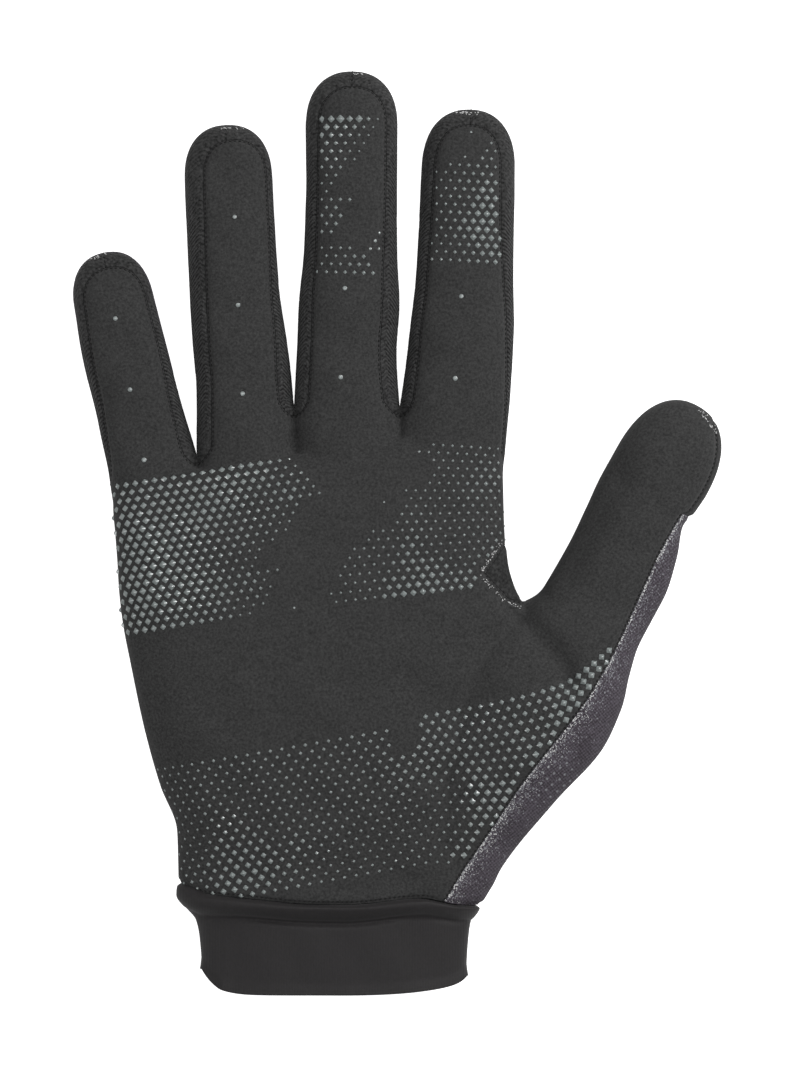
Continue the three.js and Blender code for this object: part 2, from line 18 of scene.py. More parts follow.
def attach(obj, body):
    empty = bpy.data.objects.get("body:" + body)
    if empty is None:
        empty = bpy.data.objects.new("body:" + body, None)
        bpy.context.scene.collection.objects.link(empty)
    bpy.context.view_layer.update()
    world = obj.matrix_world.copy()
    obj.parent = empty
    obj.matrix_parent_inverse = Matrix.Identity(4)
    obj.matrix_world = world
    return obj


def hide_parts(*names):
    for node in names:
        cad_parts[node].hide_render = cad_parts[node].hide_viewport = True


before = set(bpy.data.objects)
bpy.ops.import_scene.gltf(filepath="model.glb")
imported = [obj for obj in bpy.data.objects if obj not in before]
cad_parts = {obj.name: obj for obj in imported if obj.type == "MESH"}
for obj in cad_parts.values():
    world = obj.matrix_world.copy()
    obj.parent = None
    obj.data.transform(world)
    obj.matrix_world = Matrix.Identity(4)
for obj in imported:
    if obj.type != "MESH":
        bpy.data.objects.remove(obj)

MM = 0.001
WHITE = (1.0, 1.0, 1.0, 1.0)
Points = np.ndarray
log = logging.getLogger("glove")


class Finish(Enum):
    """The record's material slots."""

    SUEDE = "suede_palm"
    SIDE_KNIT = "side_knit"
    BACK_KNIT = "back_knit"
    JERSEY = "cuff_jersey"
    SILICONE = "grip_silicone"
    THREAD = "seam_thread"
    FLECK = "fleck_yarn"


class Table:
    """Rows of numbers, read between the rows along a curve that never overshoots them."""

    def __init__(self, names: str, rows: Sequence[Sequence[float]]) -> None:
        """Keeps the rows.

        Args:
            names: the columns' names, of which the first one orders the rows.
            rows: the rows, in rising order.
        """
        self.columns = dict(zip(names.split(), np.array(rows, dtype=float).T))
        self.key = self.columns[names.split()[0]]

    def read(self, name: str, at: float | Points) -> Points:
        """Reads one column.

        Args:
            name: the column.
            at: where to read it, in the first column's own measure.

        Returns:
            The column's values there.
        """
        x, y = self.key, self.columns[name]
        place = np.clip(np.asarray(at, dtype=float), x[0], x[-1])
        slope = np.diff(y) / np.diff(x)
        before, after = slope[:-1], slope[1:]
        same = before * after > 0
        inner = np.zeros_like(before)
        inner[same] = 2 * before[same] * after[same] / (before[same] + after[same])
        tangent = np.concatenate([slope[:1], inner, slope[-1:]])
        i = np.clip(np.searchsorted(x, place, side="right") - 1, 0, len(x) - 2)
        span = x[i + 1] - x[i]
        t = (place - x[i]) / span
        near = (2 * t**3 - 3 * t**2 + 1) * y[i] + (t**3 - 2 * t**2 + t) * span * tangent[i]
        far = (3 * t**2 - 2 * t**3) * y[i + 1] + (t**3 - t**2) * span * tangent[i + 1]
        return near + far


@dataclass(frozen=True)
class Sizes:
    """The glove's driving sizes."""

    wall: float = 1.2
    seam_gap: float = 0.12
    palm_width: float = 104.0
    palm_length: float = 122.0
    palm_thickness: float = 25.0
    middle_length: float = 105.3
    thumb_length: float = 144.0
    cuff_length: float = 26.0
    rise_left: float = 6.6
    rise_right: float = 3.0
    corner_rise: float = 1.8
    wrist_sag: float = 2.0
    strip: float = 4.0
    tip_strip: float = 4.2
    crotch_strip: float = 2.2
    thumb_strip: float = 1.2
    rest_flat: float = 1.2
    back_seam: float = 7.5
    wrist: tuple[float, float] = (-23.47, -95.7)

    @property
    def half_palm(self) -> float:
        """Half the width across the knuckles."""
        return self.palm_width / 2

    def palm_point(self, x: float, y: float) -> Points:
        """The plan point at shares of half the palm's width and of its length."""
        return np.array([x * self.half_palm, y * self.palm_length]) + self.wrist


SIZES = Sizes()


@dataclass(frozen=True)
class Sections:
    """Cross-sections of a loft: plan centres, directions across, half widths, lowest and top heights."""

    centre: Points
    across: Points
    half: Points
    low: Points
    top: Points
    power: Points


@dataclass(frozen=True)
class Digit:
    """A finger or the thumb: a tapering tube with a rounded tip, pressed flat underneath."""

    name: str
    root: tuple[float, float]
    turn: float
    length: float
    width: float
    thickness: float
    dome: float
    table: Table
    power: float = 2.3
    root_taper: float = 0.75

    @property
    def along(self) -> Points:
        """The unit vector from the root to the tip."""
        return np.array([math.sin(math.radians(self.turn)), math.cos(math.radians(self.turn))])

    @property
    def across(self) -> Points:
        """The unit vector across it, to the right."""
        return np.array([self.along[1], -self.along[0]])

    @property
    def dome_start(self) -> float:
        """The share of the length where the tip starts to round."""
        return 1 - self.dome / self.length

    @property
    def tip_middle(self) -> float:
        """How far across the middle of its tip lies."""
        return (self.edge("left", self.dome_start) + self.edge("right", self.dome_start)) / 2

    def on(self, at: float | Points, distance: float | Points) -> Points:
        """The plan points at shares of the length and distances across."""
        ahead = np.multiply.outer(at, self.along) * self.length
        return SIZES.palm_point(*self.root) + ahead + np.multiply.outer(distance, self.across)

    def edge(self, side: str, at: float | Points) -> Points:
        """The distance across at which one of its edges lies."""
        return self.table.read(side, at) * self.width / 2

    def sections(self, inset: float, shaft: int = 70, tip: int = 18) -> Sections:
        """Its cross-sections, set in by a wall.

        Args:
            inset: how far the whole form is set in.
            shaft: how many sections the shaft has.
            tip: how many the rounded tip has.

        Returns:
            The sections from the root to the tip.
        """
        end = 1 - inset / self.length
        swing = np.sin(np.linspace(0, 0.985, tip) * math.pi / 2)
        at = np.concatenate(
            [
                np.linspace(self.table.key[0], self.dome_start, shaft, endpoint=False),
                self.dome_start + (end - self.dome_start) * swing,
            ]
        )
        reach = np.clip((at - self.dome_start) / (end - self.dome_start), 0, 1)
        shrink = (1 - reach**self.power) ** (1 / self.power)
        shrink[0] = self.root_taper
        left, right = self.edge("left", at) + inset, self.edge("right", at) - inset
        low = -SIZES.rest_flat + inset
        top = self.table.read("top", at) * self.thickness - inset
        middle = (top + low) / 2
        return Sections(
            centre=self.on(at, (left + right) / 2),
            across=np.tile(self.across, (len(at), 1)),
            half=(right - left) / 2 * shrink,
            low=middle - (middle - low) * shrink,
            top=middle + (top - middle) * shrink,
            power=np.full(len(at), self.power),
        )


FINGER_COLUMNS = "at left right top seam_left seam_right"
FINGERS = (
    Digit(
        name="little",
        root=(-0.738, 0.843),
        turn=-11.7,
        length=0.65 * SIZES.middle_length,
        width=0.212 * SIZES.palm_width,
        thickness=0.62 * SIZES.palm_thickness,
        dome=0.135 * SIZES.palm_width,
        table=Table(
            FINGER_COLUMNS,
            (
                (-0.2, -0.95, 0.8, 1, -0.6, 0.9),
                (0.06, -1.14, 1.08, 1.02, -0.3, 0.85),
                (0.2, -1.1, 1.02, 1, 0.2, 0.8),
                (0.4, -1.11, 0.91, 0.97, 0.45, 0.6),
                (0.6, -1.16, 0.85, 0.94, 0.62, 0.42),
                (0.8, -1.11, 0.79, 0.9, 0.68, 0.45),
            ),
        ),
    ),
    Digit(
        name="ring",
        root=(-0.294, 0.875),
        turn=-2.7,
        length=0.918 * SIZES.middle_length,
        width=0.231 * SIZES.palm_width,
        thickness=0.66 * SIZES.palm_thickness,
        dome=0.135 * SIZES.palm_width,
        table=Table(
            FINGER_COLUMNS,
            (
                (-0.12, -0.9, 0.9, 1, 1, 0.9),
                (0.06, -1.14, 1.08, 1.03, 1, 0.9),
                (0.3, -1.07, 1.02, 1, 1.02, 0.9),
                (0.4, -1.1, 0.96, 0.99, 1.05, 0.7),
                (0.55, -1.12, 0.84, 0.96, 1.12, 0.45),
                (0.72, -1.12, 0.805, 0.93, 1.2, 0.33),
                (0.86, -1.11, 0.8, 0.88, 1.25, 0.33),
            ),
        ),
    ),
    Digit(
        name="middle",
        root=(0.192, 0.919),
        turn=0.9,
        length=SIZES.middle_length,
        width=0.24 * SIZES.palm_width,
        thickness=0.68 * SIZES.palm_thickness,
        dome=0.14 * SIZES.palm_width,
        table=Table(
            FINGER_COLUMNS,
            (
                (-0.12, -0.9, 0.9, 1, 0.9, 1),
                (0.08, -1.13, 1.15, 1.03, 0.9, 1),
                (0.3, -1.07, 1.03, 1, 0.92, 1.08),
                (0.41, -1.05, 1.075, 0.99, 0.88, 1.1),
                (0.55, -0.955, 1.01, 0.96, 0.75, 0.85),
                (0.72, -0.93, 0.98, 0.93, 0.72, 0.7),
                (0.86, -0.96, 0.97, 0.88, 0.82, 0.68),
            ),
        ),
    ),
    Digit(
        name="index",
        root=(0.725, 0.897),
        turn=2.8,
        length=0.931 * SIZES.middle_length,
        width=0.25 * SIZES.palm_width,
        thickness=0.68 * SIZES.palm_thickness,
        dome=0.154 * SIZES.palm_width,
        table=Table(
            FINGER_COLUMNS,
            (
                (-0.15, -0.9, 1, 1, 0.8, 0.1),
                (0.07, -1.17, 1.06, 1.03, 0.8, 0.12),
                (0.3, -1.03, 1.12, 1, 0.75, 0.3),
                (0.4, -0.98, 1.125, 0.99, 0.7, 0.45),
                (0.55, -0.91, 1.06, 0.96, 0.7, 0.62),
                (0.7, -0.9, 1.02, 0.93, 0.75, 0.85),
                (0.84, -0.9, 0.98, 0.88, 0.8, 0.9),
            ),
        ),
    ),
)
THUMB = Digit(
    name="thumb",
    root=(0.604, 0.032),
    turn=29.1,
    length=SIZES.thumb_length,
    width=0.25 * SIZES.palm_width,
    thickness=0.76 * SIZES.palm_thickness,
    dome=0.19 * SIZES.palm_width,
    table=Table(
        "at left right top seam",
        (
            (-0.06, -0.7, 0.9, 0.95, 0.44),
            (0.05, -0.95, 1.14, 0.98, 0.52),
            (0.12, -1.2, 1.22, 1.08, 0.59),
            (0.24, -1.5, 1.47, 1.25, 0.7),
            (0.38, -1.6, 1.8, 1.33, 0.94),
            (0.45, -1.5, 1.73, 1.3, 1.03),
            (0.51, -1.2, 1.54, 1.22, 1.04),
            (0.57, -0.82, 1.41, 1.13, 1.01),
            (0.66, -0.8, 1.4, 1.05, 0.93),
            (0.74, -0.85, 1.23, 1.02, 0.87),
            (0.805, -0.9, 1.01, 1, 0.88),
            (0.815, -0.9, 1.08, 1, 0.9),
            (0.86, -0.9, 1.14, 0.98, 0.95),
        ),
    ),
)
TRUNK = Table(
    "y left right slant top power",
    [
        (y * (SIZES.cuff_length if y < 0 else SIZES.palm_length), *rest)
        for y, *rest in (
            (-1.4, -0.53, 0.798, 0, 0.64, 2.5),
            (-0.71, -0.54, 0.805, 0, 0.66, 2.5),
            (-0.41, -0.552, 0.815, 0, 0.66, 2.5),
            (-0.25, -0.57, 0.828, 0, 0.66, 2.5),
            (-0.1, -0.628, 0.87, 0, 0.75, 2.5),
            (0, -0.652, 0.9, 0, 0.77, 2.5),
            (0.035, -0.654, 0.92, 0, 0.77, 2.6),
            (0.14, -0.66, 0.92, 0, 0.86, 2.7),
            (0.238, -0.745, 0.92, 0, 0.94, 2.8),
            (0.367, -0.828, 0.94, 0, 1, 3),
            (0.497, -0.892, 1.01, 0, 1, 3.2),
            (0.6, -0.938, 1.13, 0, 0.97, 3.3),
            (0.66, -0.953, 1.05, 0, 0.95, 3.4),
            (0.72, -0.962, 1.01, 0, 0.92, 3.5),
            (0.8, -0.975, 0.994, 0.02, 0.86, 3.6),
            (0.87, -0.985, 0.99, 0.06, 0.79, 3.6),
            (0.93, -0.97, 0.965, 0.1, 0.71, 3.4),
            (0.957, -0.88, 0.87, 0.115, 0.6, 3),
        )
    ],
)
WRIST_SEAM = Table(
    "across sag",
    (
        (-2, -1.9),
        (-0.66, -1.8),
        (-0.61, -1.4),
        (-0.53, -0.4),
        (-0.3, 0.2),
        (0, 0.9),
        (0.2, 1),
        (0.58, 0.15),
        (0.66, 0.5),
        (0.76, 1.05),
        (0.95, 1.3),
        (3, 1.3),
    ),
)


def trunk_sections(inset: float, count: int = 150) -> Sections:
    """The cross-sections of palm, wrist and cuff, set in by a wall.

    Args:
        inset: how far the whole form is set in.
        count: how many sections there are.

    Returns:
        The sections from the cuff's mouth to the knuckles.
    """
    y = np.linspace(TRUNK.key[0], TRUNK.key[-1], count)
    slant = TRUNK.read("slant", y) / 2 * SIZES.palm_length
    x_left = TRUNK.read("left", y) * SIZES.half_palm + inset
    x_right = TRUNK.read("right", y) * SIZES.half_palm - inset
    left = np.stack([x_left, y - slant], axis=1) + SIZES.wrist
    right = np.stack([x_right, y + slant], axis=1) + SIZES.wrist
    run = np.linalg.norm(right - left, axis=1)
    return Sections(
        centre=(left + right) / 2,
        across=(right - left) / run[:, None],
        half=run / 2,
        low=np.full(count, inset - SIZES.rest_flat),
        top=TRUNK.read("top", y) * SIZES.palm_thickness - inset,
        power=TRUNK.read("power", y),
    )


def wrist_seam(x: float | Points) -> Points:
    """The wrist seam's y at each x."""
    across = (np.asarray(x) - SIZES.wrist[0]) / SIZES.half_palm
    return SIZES.wrist[1] - WRIST_SEAM.read("sag", across) * SIZES.wrist_sag


def mouth_edge(x: Points) -> Points:
    """The cuff mouth's y at each x, which turns up at its two sides.

    Args:
        x: the x values.

    Returns:
        The y values.
    """
    left, right = (TRUNK.columns[side][0] * SIZES.half_palm for side in ("left", "right"))
    share = np.clip((2 * (x - SIZES.wrist[0]) - left - right) / (right - left), -1, 1)
    out = np.abs(share)
    on_left = SIZES.rise_left * out**9
    on_right = SIZES.rise_right * out**2.7 + SIZES.corner_rise * out**18
    return SIZES.wrist[1] - SIZES.cuff_length + np.where(share < 0, on_left, on_right)


def distance_to(points: Points, line: Points) -> Points:
    """How far each plan point is from a polyline.

    Args:
        points: plan points, one to a row.
        line: the polyline's points.

    Returns:
        The distances.
    """
    best = np.full(len(points), np.inf)
    for start, end in zip(line[:-1], line[1:]):
        run = end - start
        if run @ run > 0:
            share = np.clip((points - start) @ run / (run @ run), 0, 1)
            off = points - start - share[:, None] * run
            best = np.minimum(best, np.hypot(off[:, 0], off[:, 1]))
    return best


def foot_on(points: Points, line: Points) -> tuple[Points, Points, Points]:
    """The nearest place on a polyline to each plan point.

    Args:
        points: plan points, one to a row.
        line: the polyline's points.

    Returns:
        The distances, the lengths along the polyline and the offsets from it.
    """
    best = np.full(len(points), np.inf)
    along, offset = np.zeros(len(points)), np.zeros((len(points), 2))
    reach = 0.0
    for start, end in zip(line[:-1], line[1:]):
        run = end - start
        length = math.hypot(*run)
        share = np.clip((points - start) @ run / max(length**2, 1e-12), 0, 1)
        off = points - start - share[:, None] * run
        gap = np.hypot(off[:, 0], off[:, 1])
        near = gap < best
        best[near], along[near], offset[near] = gap[near], reach + share[near] * length, off[near]
        reach += length
    return best, along, offset


def inside(points: Points, outline: Points) -> Points:
    """Which plan points lie inside a closed outline.

    Args:
        points: plan points, one to a row.
        outline: the outline's points.

    Returns:
        True for each point inside.
    """
    x, y = points[:, 0], points[:, 1]
    found = np.zeros(len(points), dtype=bool)
    for (ax, ay), (bx, by) in zip(outline, np.roll(outline, -1, axis=0)):
        crosses = (ay > y) != (by > y)
        if crosses.any():
            found ^= crosses & (x < ax + (y - ay) * (bx - ax) / ((by - ay) or 1))
    return found


def grown(outline: Points, distance: float) -> Points:
    """A closed outline moved outwards by a small distance, which is negative to move inwards.

    Args:
        outline: its points.
        distance: how far it is moved.

    Returns:
        The moved points.
    """
    following = np.roll(outline, -1, axis=0)
    turn = np.sign(np.sum(outline[:, 0] * following[:, 1] - following[:, 0] * outline[:, 1]))
    run = following - np.roll(outline, 1, axis=0)
    run = run / np.linalg.norm(run, axis=1)[:, None]
    return outline + turn * distance * np.stack([run[:, 1], -run[:, 0]], axis=1)


def spaced(line: Points, pitch: float, start: float = 0.0) -> tuple[Points, Points]:
    """Evenly spaced places along a polyline.

    Args:
        line: the polyline's points.
        pitch: the distance between two places.
        start: the distance from the line's start to the first one.

    Returns:
        The places and the unit directions there.
    """
    run = np.linalg.norm(np.diff(line, axis=0), axis=1)
    reach = np.concatenate([[0], np.cumsum(run)])
    at = np.arange(start, reach[-1], pitch)
    place = np.stack([np.interp(at, reach, line[:, i]) for i in (0, 1)], axis=1)
    ahead = np.stack([np.interp(at + 0.2, reach, line[:, i]) for i in (0, 1)], axis=1)
    behind = np.stack([np.interp(at - 0.2, reach, line[:, i]) for i in (0, 1)], axis=1)
    way = ahead - behind
    return place, way / np.linalg.norm(way, axis=1)[:, None]


@dataclass
class SeamPlan:
    """Where the glove's sewn seams run in plan."""

    gusset_palm: tuple = ((1.012, 0.765), (0.898, 0.696))
    gusset_thumb: tuple = ((0.524, -1.348), (0.53, -1.066), (0.559, -1.178))
    patch_at: float = 0.815
    past_tip: float = 1.15
    past_root: float = -0.2
    crotch_curve: float = 4.0
    outer_start: float = 0.08
    bend_before: float = 0.03
    u_fullness: float = 0.9

    def crotch(self, finger: Digit, following: Digit) -> Points:
        """The lowest point of the palm seam's U between a finger and the next one.

        Args:
            finger: the finger on the left.
            following: the one on its right.

        Returns:
            The plan point.
        """
        at = np.linspace(-0.1, 0.5, 600)
        mine = finger.on(at, finger.edge("right", at))
        theirs = following.on(at, following.edge("left", at))
        level = np.linspace(mine[0, 1], mine[-1, 1], 600)
        apart = np.interp(level, theirs[:, 1], theirs[:, 0]) - np.interp(level, mine[:, 1], mine[:, 0])
        top = level[np.flatnonzero(apart <= 0)[-1]]
        return np.array([np.interp(top, mine[:, 1], mine[:, 0]), top - SIZES.crotch_strip])

    def web(self, finger: Digit, following: Digit, wide: float = 6.0) -> Points:
        """The plan of the narrow gap between two fingers, from its sharp foot to where it is wide.

        Args:
            finger: the finger on the left.
            following: the one on its right.
            wide: the width at which it ends.

        Returns:
            The closed outline.
        """
        foot = self.crotch(finger, following)[1] + SIZES.crotch_strip
        at = np.linspace(0, 0.8, 160)
        mine = finger.on(at, finger.edge("right", at))
        theirs = following.on(at, following.edge("left", at))
        level = np.linspace(foot, foot + 60, 120)
        left, right = np.interp(level, mine[:, 1], mine[:, 0]), np.interp(level, theirs[:, 1], theirs[:, 0])
        count = max(3, int(np.argmax(right - left > wide)))
        left, right = np.column_stack([left, level])[:count], np.column_stack([right, level])[:count]
        return np.concatenate([left + [0.08, 0.1], right[:0:-1] - [0.08, -0.1]])

    def side(self, finger: Digit, side: str, crotch: Points | None) -> Points:
        """One side of a finger's palm seam, from its root to where the tip rounds.

        Args:
            finger: the finger.
            side: left or right.
            crotch: the crotch on that side, or None at the hand's edge.

        Returns:
            The line's points.
        """
        start = self.outer_start
        if crotch is not None:
            reach = (crotch - SIZES.palm_point(*finger.root)) @ finger.along
            start = (reach + self.crotch_curve) / finger.length
        at = np.linspace(start, finger.dome_start, 40)
        inward = finger.table.read(f"seam_{side}", at) * SIZES.strip
        across = finger.edge(side, at) + (inward if side == "left" else -inward)
        return finger.on(at, across)

    def around(self, finger: Digit, before: Points | None, after: Points | None) -> Points:
        """The palm seam up a finger's left side, round the tip and down its right side.

        Args:
            finger: the finger.
            before: the crotch on its left, if any.
            after: the crotch on its right, if any.

        Returns:
            The line's points.
        """
        left, right = self.side(finger, "left", before), self.side(finger, "right", after)
        middle, half = (left[-1] + right[-1]) / 2, (right[-1] - left[-1]) / 2
        angle = np.linspace(0, math.pi, 34)[1:-1]
        sideways = -np.sign(np.cos(angle)) * np.abs(np.cos(angle)) ** (2 / finger.power)
        forward = (finger.dome - SIZES.tip_strip) * np.sin(angle) ** (2 / finger.power)
        tip = middle + np.multiply.outer(sideways, half) + np.multiply.outer(forward, finger.along)
        return np.concatenate([left, tip, right[::-1]])

    def u_curve(self, before: Points, low: Points, after: Points) -> Points:
        """The rounded bottom of a U between the ends of two finger seams.

        Args:
            before: the left seam's end.
            low: the crotch.
            after: the right seam's start.

        Returns:
            The points between the two ends.
        """
        t = np.linspace(0, 1, 14)[1:-1, None]
        handle = low + (low - (before + after) / 2) * self.u_fullness
        return (1 - t) ** 2 * before + 2 * t * (1 - t) * handle + t**2 * after

    def thumb(self) -> Points:
        """The palm panel's edge round the thumb, from the web over the tip to the wrist.

        Returns:
            The line's points.
        """
        half = THUMB.width / 2
        at = np.array([0.58, 0.62, 0.7, 0.8, 0.86])
        inner = THUMB.on(at, THUMB.edge("left", at) - SIZES.strip)
        crown = np.array([THUMB.on(self.past_tip, d) for d in (-half / 2, half / 3)])
        at = np.linspace(0.985, 0.825, 24)
        reach = np.clip((at - THUMB.dome_start) / (1 - THUMB.dome_start), 0, 1)
        shrink = (1 - reach**THUMB.power) ** (1 / THUMB.power)
        left, right = THUMB.edge("left", at), THUMB.edge("right", at)
        across = (left + right) / 2 + (right - left) / 2 * shrink - SIZES.thumb_strip
        strip = THUMB.on(at, across)
        at = np.concatenate([np.linspace(0.812, 0.05, 60), [self.past_root]])
        outer = THUMB.on(at, THUMB.table.read("seam", at) * half)
        return np.concatenate([inner, crown, strip, outer])

    def gusset_corners(self) -> Points:
        """The gusset's corners on the palm and on the thumb.

        Returns:
            The corners, two on the palm and three on the thumb.
        """
        palm = [SIZES.palm_point(*corner) for corner in self.gusset_palm]
        thumb = [THUMB.on(at, across * THUMB.width / 2) for at, across in self.gusset_thumb]
        return np.array(palm + thumb)

    def finger_seams(self) -> Points:
        """The palm seam round all four fingers and through their crotches.

        Returns:
            The line's points.
        """
        crotches = [self.crotch(a, b) for a, b in zip(FINGERS, FINGERS[1:])]
        runs = [self.around(f, *ends) for f, ends in zip(FINGERS, zip([None, *crotches], [*crotches, None]))]
        line = [runs[0]]
        for low, before, after in zip(crotches, runs, runs[1:]):
            line += [self.u_curve(before[-1], low, after[0]), after]
        return np.concatenate(line)

    def palm(self) -> Points:
        """The palm panel's whole closed outline.

        Returns:
            The outline's points.
        """
        outside = SIZES.wrist[0] - SIZES.palm_width
        start = [[outside, SIZES.wrist[1] + 0.5 * SIZES.palm_length]]
        end = [[outside, SIZES.wrist[1] + self.past_root * SIZES.palm_length]]
        return np.concatenate([start, self.finger_seams(), self.gusset_corners(), self.thumb(), end])

    def axis(self, finger: Digit) -> Points:
        """A finger's axis from its root past the middle of its tip."""
        bend = finger.on(finger.dome_start - self.bend_before, finger.tip_middle)
        return np.array([finger.on(0, 0), bend, finger.on(self.past_tip, finger.tip_middle)])

    def strips(self) -> dict[str, Points]:
        """The plan zones of the side strips and the gusset, by CAD node.

        Returns:
            Each zone's closed outline.
        """
        little, ring, middle, index = FINGERS
        outside = -2 * little.width
        low = SIZES.palm_point(*self.gusset_palm[0])[1] + SIZES.seam_gap
        root, *rest = self.axis(index)
        beside = [SIZES.palm_point(1.2, 0)[0], low]
        outer = SIZES.palm_point(1.17, 0.765)
        return {
            "side_strip_little": np.array(
                [little.on(self.past_tip, outside), little.on(0, outside), *self.axis(little)]
            ),
            "fourchette_little_ring": np.concatenate([self.axis(little), self.axis(ring)[::-1]]),
            "fourchette_ring_middle": np.concatenate([self.axis(ring), self.axis(middle)[::-1]]),
            "fourchette_middle_index": np.concatenate([self.axis(middle), self.axis(index)[::-1]]),
            "side_strip_index": np.array(
                [[root[0], low], *rest, index.on(self.past_tip, index.width), beside]
            ),
            "thumb_web_gusset": np.concatenate([self.gusset_corners(), [outer]]),
        }

    def patch(self) -> Points:
        """The plan zone of the thumb's tip patch."""
        corners = ((self.patch_at, -1), (self.past_tip, -1), (self.past_tip, 1), (self.patch_at, 1))
        return np.array([THUMB.on(at, side * THUMB.width) for at, side in corners])

    def tip_seams(self) -> list[Points]:
        """The short seams at the fingertips, where two side strips meet."""
        starts = [(finger, 1 - SIZES.tip_strip / finger.length) for finger in FINGERS]
        return [finger.on(np.array([start, 1.0]), finger.tip_middle) for finger, start in starts]


def solo(obj: bpy.types.Object) -> bpy.types.Object:
    """Makes an object the only selected one and the active one.

    Args:
        obj: the object.

    Returns:
        The object.
    """
    bpy.ops.object.select_all(action="DESELECT")
    obj.select_set(True)
    bpy.context.view_layer.objects.active = obj
    return obj


def added(name: str) -> bpy.types.Object:
    """Names the object that an operator has just added.

    Args:
        name: its name.

    Returns:
        The object.
    """
    obj = bpy.context.active_object
    obj.name = name
    obj.data.name = name
    return solo(obj)


def vectors_of(obj: bpy.types.Object, name: str) -> Points:
    """A vector of each vertex of a mesh.

    Args:
        obj: the object.
        name: co for its place, normal for its normal.

    Returns:
        The vectors.
    """
    flat = np.empty(len(obj.data.vertices) * 3)
    obj.data.vertices.foreach_get(name, flat)
    return flat.reshape(-1, 3)


def points_of(obj: bpy.types.Object) -> Points:
    """A mesh's vertices in millimetres."""
    return vectors_of(obj, "co") / MM


def put_points(obj: bpy.types.Object, points: Points) -> None:
    """Moves a mesh's vertices to places in millimetres, and its object to the origin.

    Args:
        obj: the object.
        points: the vertices' new places.
    """
    obj.data.vertices.foreach_set("co", (points * MM).ravel())
    obj.data.update()
    obj.location = (0, 0, 0)


def normals_of(obj: bpy.types.Object) -> Points:
    """A mesh's vertex normals."""
    return vectors_of(obj, "normal")


def apply_modifier(obj: bpy.types.Object, kind: str, **settings: object) -> None:
    """Adds a modifier with these settings and applies it.

    Args:
        obj: the object.
        kind: the modifier's type.
        settings: its settings, by name.
    """
    modifier = solo(obj).modifiers.new(kind.title(), kind)
    for name, value in settings.items():
        setattr(modifier, name, value)
    bpy.ops.object.modifier_apply(modifier=modifier.name)


def duplicate(obj: bpy.types.Object, name: str) -> bpy.types.Object:
    """A copy with its own mesh.

    Args:
        obj: the object.
        name: the copy's name.

    Returns:
        The copy.
    """
    solo(obj)
    bpy.ops.object.duplicate()
    return added(name)


def joined(objects: Sequence[bpy.types.Object], name: str) -> bpy.types.Object:
    """Several objects as one mesh.

    Args:
        objects: the objects.
        name: the new name.

    Returns:
        The joined object.
    """
    solo(objects[0])
    for obj in objects:
        obj.select_set(True)
    bpy.ops.object.join()
    return added(name)


def drop(*objects: bpy.types.Object) -> None:
    """Deletes helper objects."""
    for obj in objects:
        bpy.data.meshes.remove(obj.data)


def put_attribute(obj: bpy.types.Object, name: str, values: Points) -> None:
    """Stores one number for each vertex of a mesh, in millimetres."""
    layer = obj.data.attributes.new(name, "FLOAT", "POINT")
    layer.data.foreach_set("value", values)


def carve(obj: bpy.types.Object, cutter: bpy.types.Object, operation: str) -> bpy.types.Object:
    """Cuts a body with another, which is then deleted.

    Args:
        obj: the body.
        cutter: the other body.
        operation: DIFFERENCE or INTERSECT.

    Returns:
        The body.
    """
    apply_modifier(obj, "BOOLEAN", operation=operation, solver="MANIFOLD", object=cutter)
    drop(cutter)
    return obj


def prism(outline: Points, low: float, high: float) -> bpy.types.Object:
    """An upright body on a plan outline, from low to high.

    Args:
        outline: the outline's points.
        low: its lowest height.
        high: its top.

    Returns:
        The body.
    """
    bpy.ops.mesh.primitive_circle_add(vertices=len(outline), radius=1, fill_type="NGON")
    body = added("prism")
    put_points(body, np.column_stack([outline, np.full(len(outline), low)]))
    bpy.ops.object.mode_set(mode="EDIT")
    bpy.ops.mesh.select_all(action="SELECT")
    bpy.ops.mesh.extrude_region_move(TRANSFORM_OT_translate={"value": (0, 0, (high - low) * MM)})
    bpy.ops.mesh.select_all(action="SELECT")
    bpy.ops.mesh.normals_make_consistent(inside=False)
    bpy.ops.object.mode_set(mode="OBJECT")
    return body


def signed_power(value: Points, power: Points) -> Points:
    """A value's size raised to a power, with its sign kept."""
    return np.sign(value) * np.abs(value) ** power


def lofted(name: str, rings: Sections, sides: int) -> bpy.types.Object:
    """A ball whose rings are drawn out into the cross-sections of a loft.

    Args:
        name: the body's name.
        rings: the cross-sections.
        sides: how many sides each one has.

    Returns:
        The body.
    """
    count = len(rings.half)
    bpy.ops.mesh.primitive_uv_sphere_add(segments=sides, ring_count=count + 1, radius=1)
    body = added(name)
    ball = points_of(body) * MM
    ring = np.rint(np.arccos(np.clip(ball[:, 2], -1, 1)) / math.pi * (count + 1)).astype(int)
    angle = np.arctan2(ball[:, 1], ball[:, 0])
    pole = (ring == 0) | (ring == count + 1)
    k = np.clip(ring - 1, 0, count - 1)
    out = np.where(pole, 0, rings.half[k] * signed_power(np.cos(angle), 2 / rings.power[k]))
    up = np.where(pole, 0, (rings.top - rings.low)[k] / 2 * signed_power(np.sin(angle), 2 / rings.power[k]))
    plan = rings.centre[k] + rings.across[k] * out[:, None]
    put_points(body, np.column_stack([plan, (rings.top + rings.low)[k] / 2 + up]))
    return body


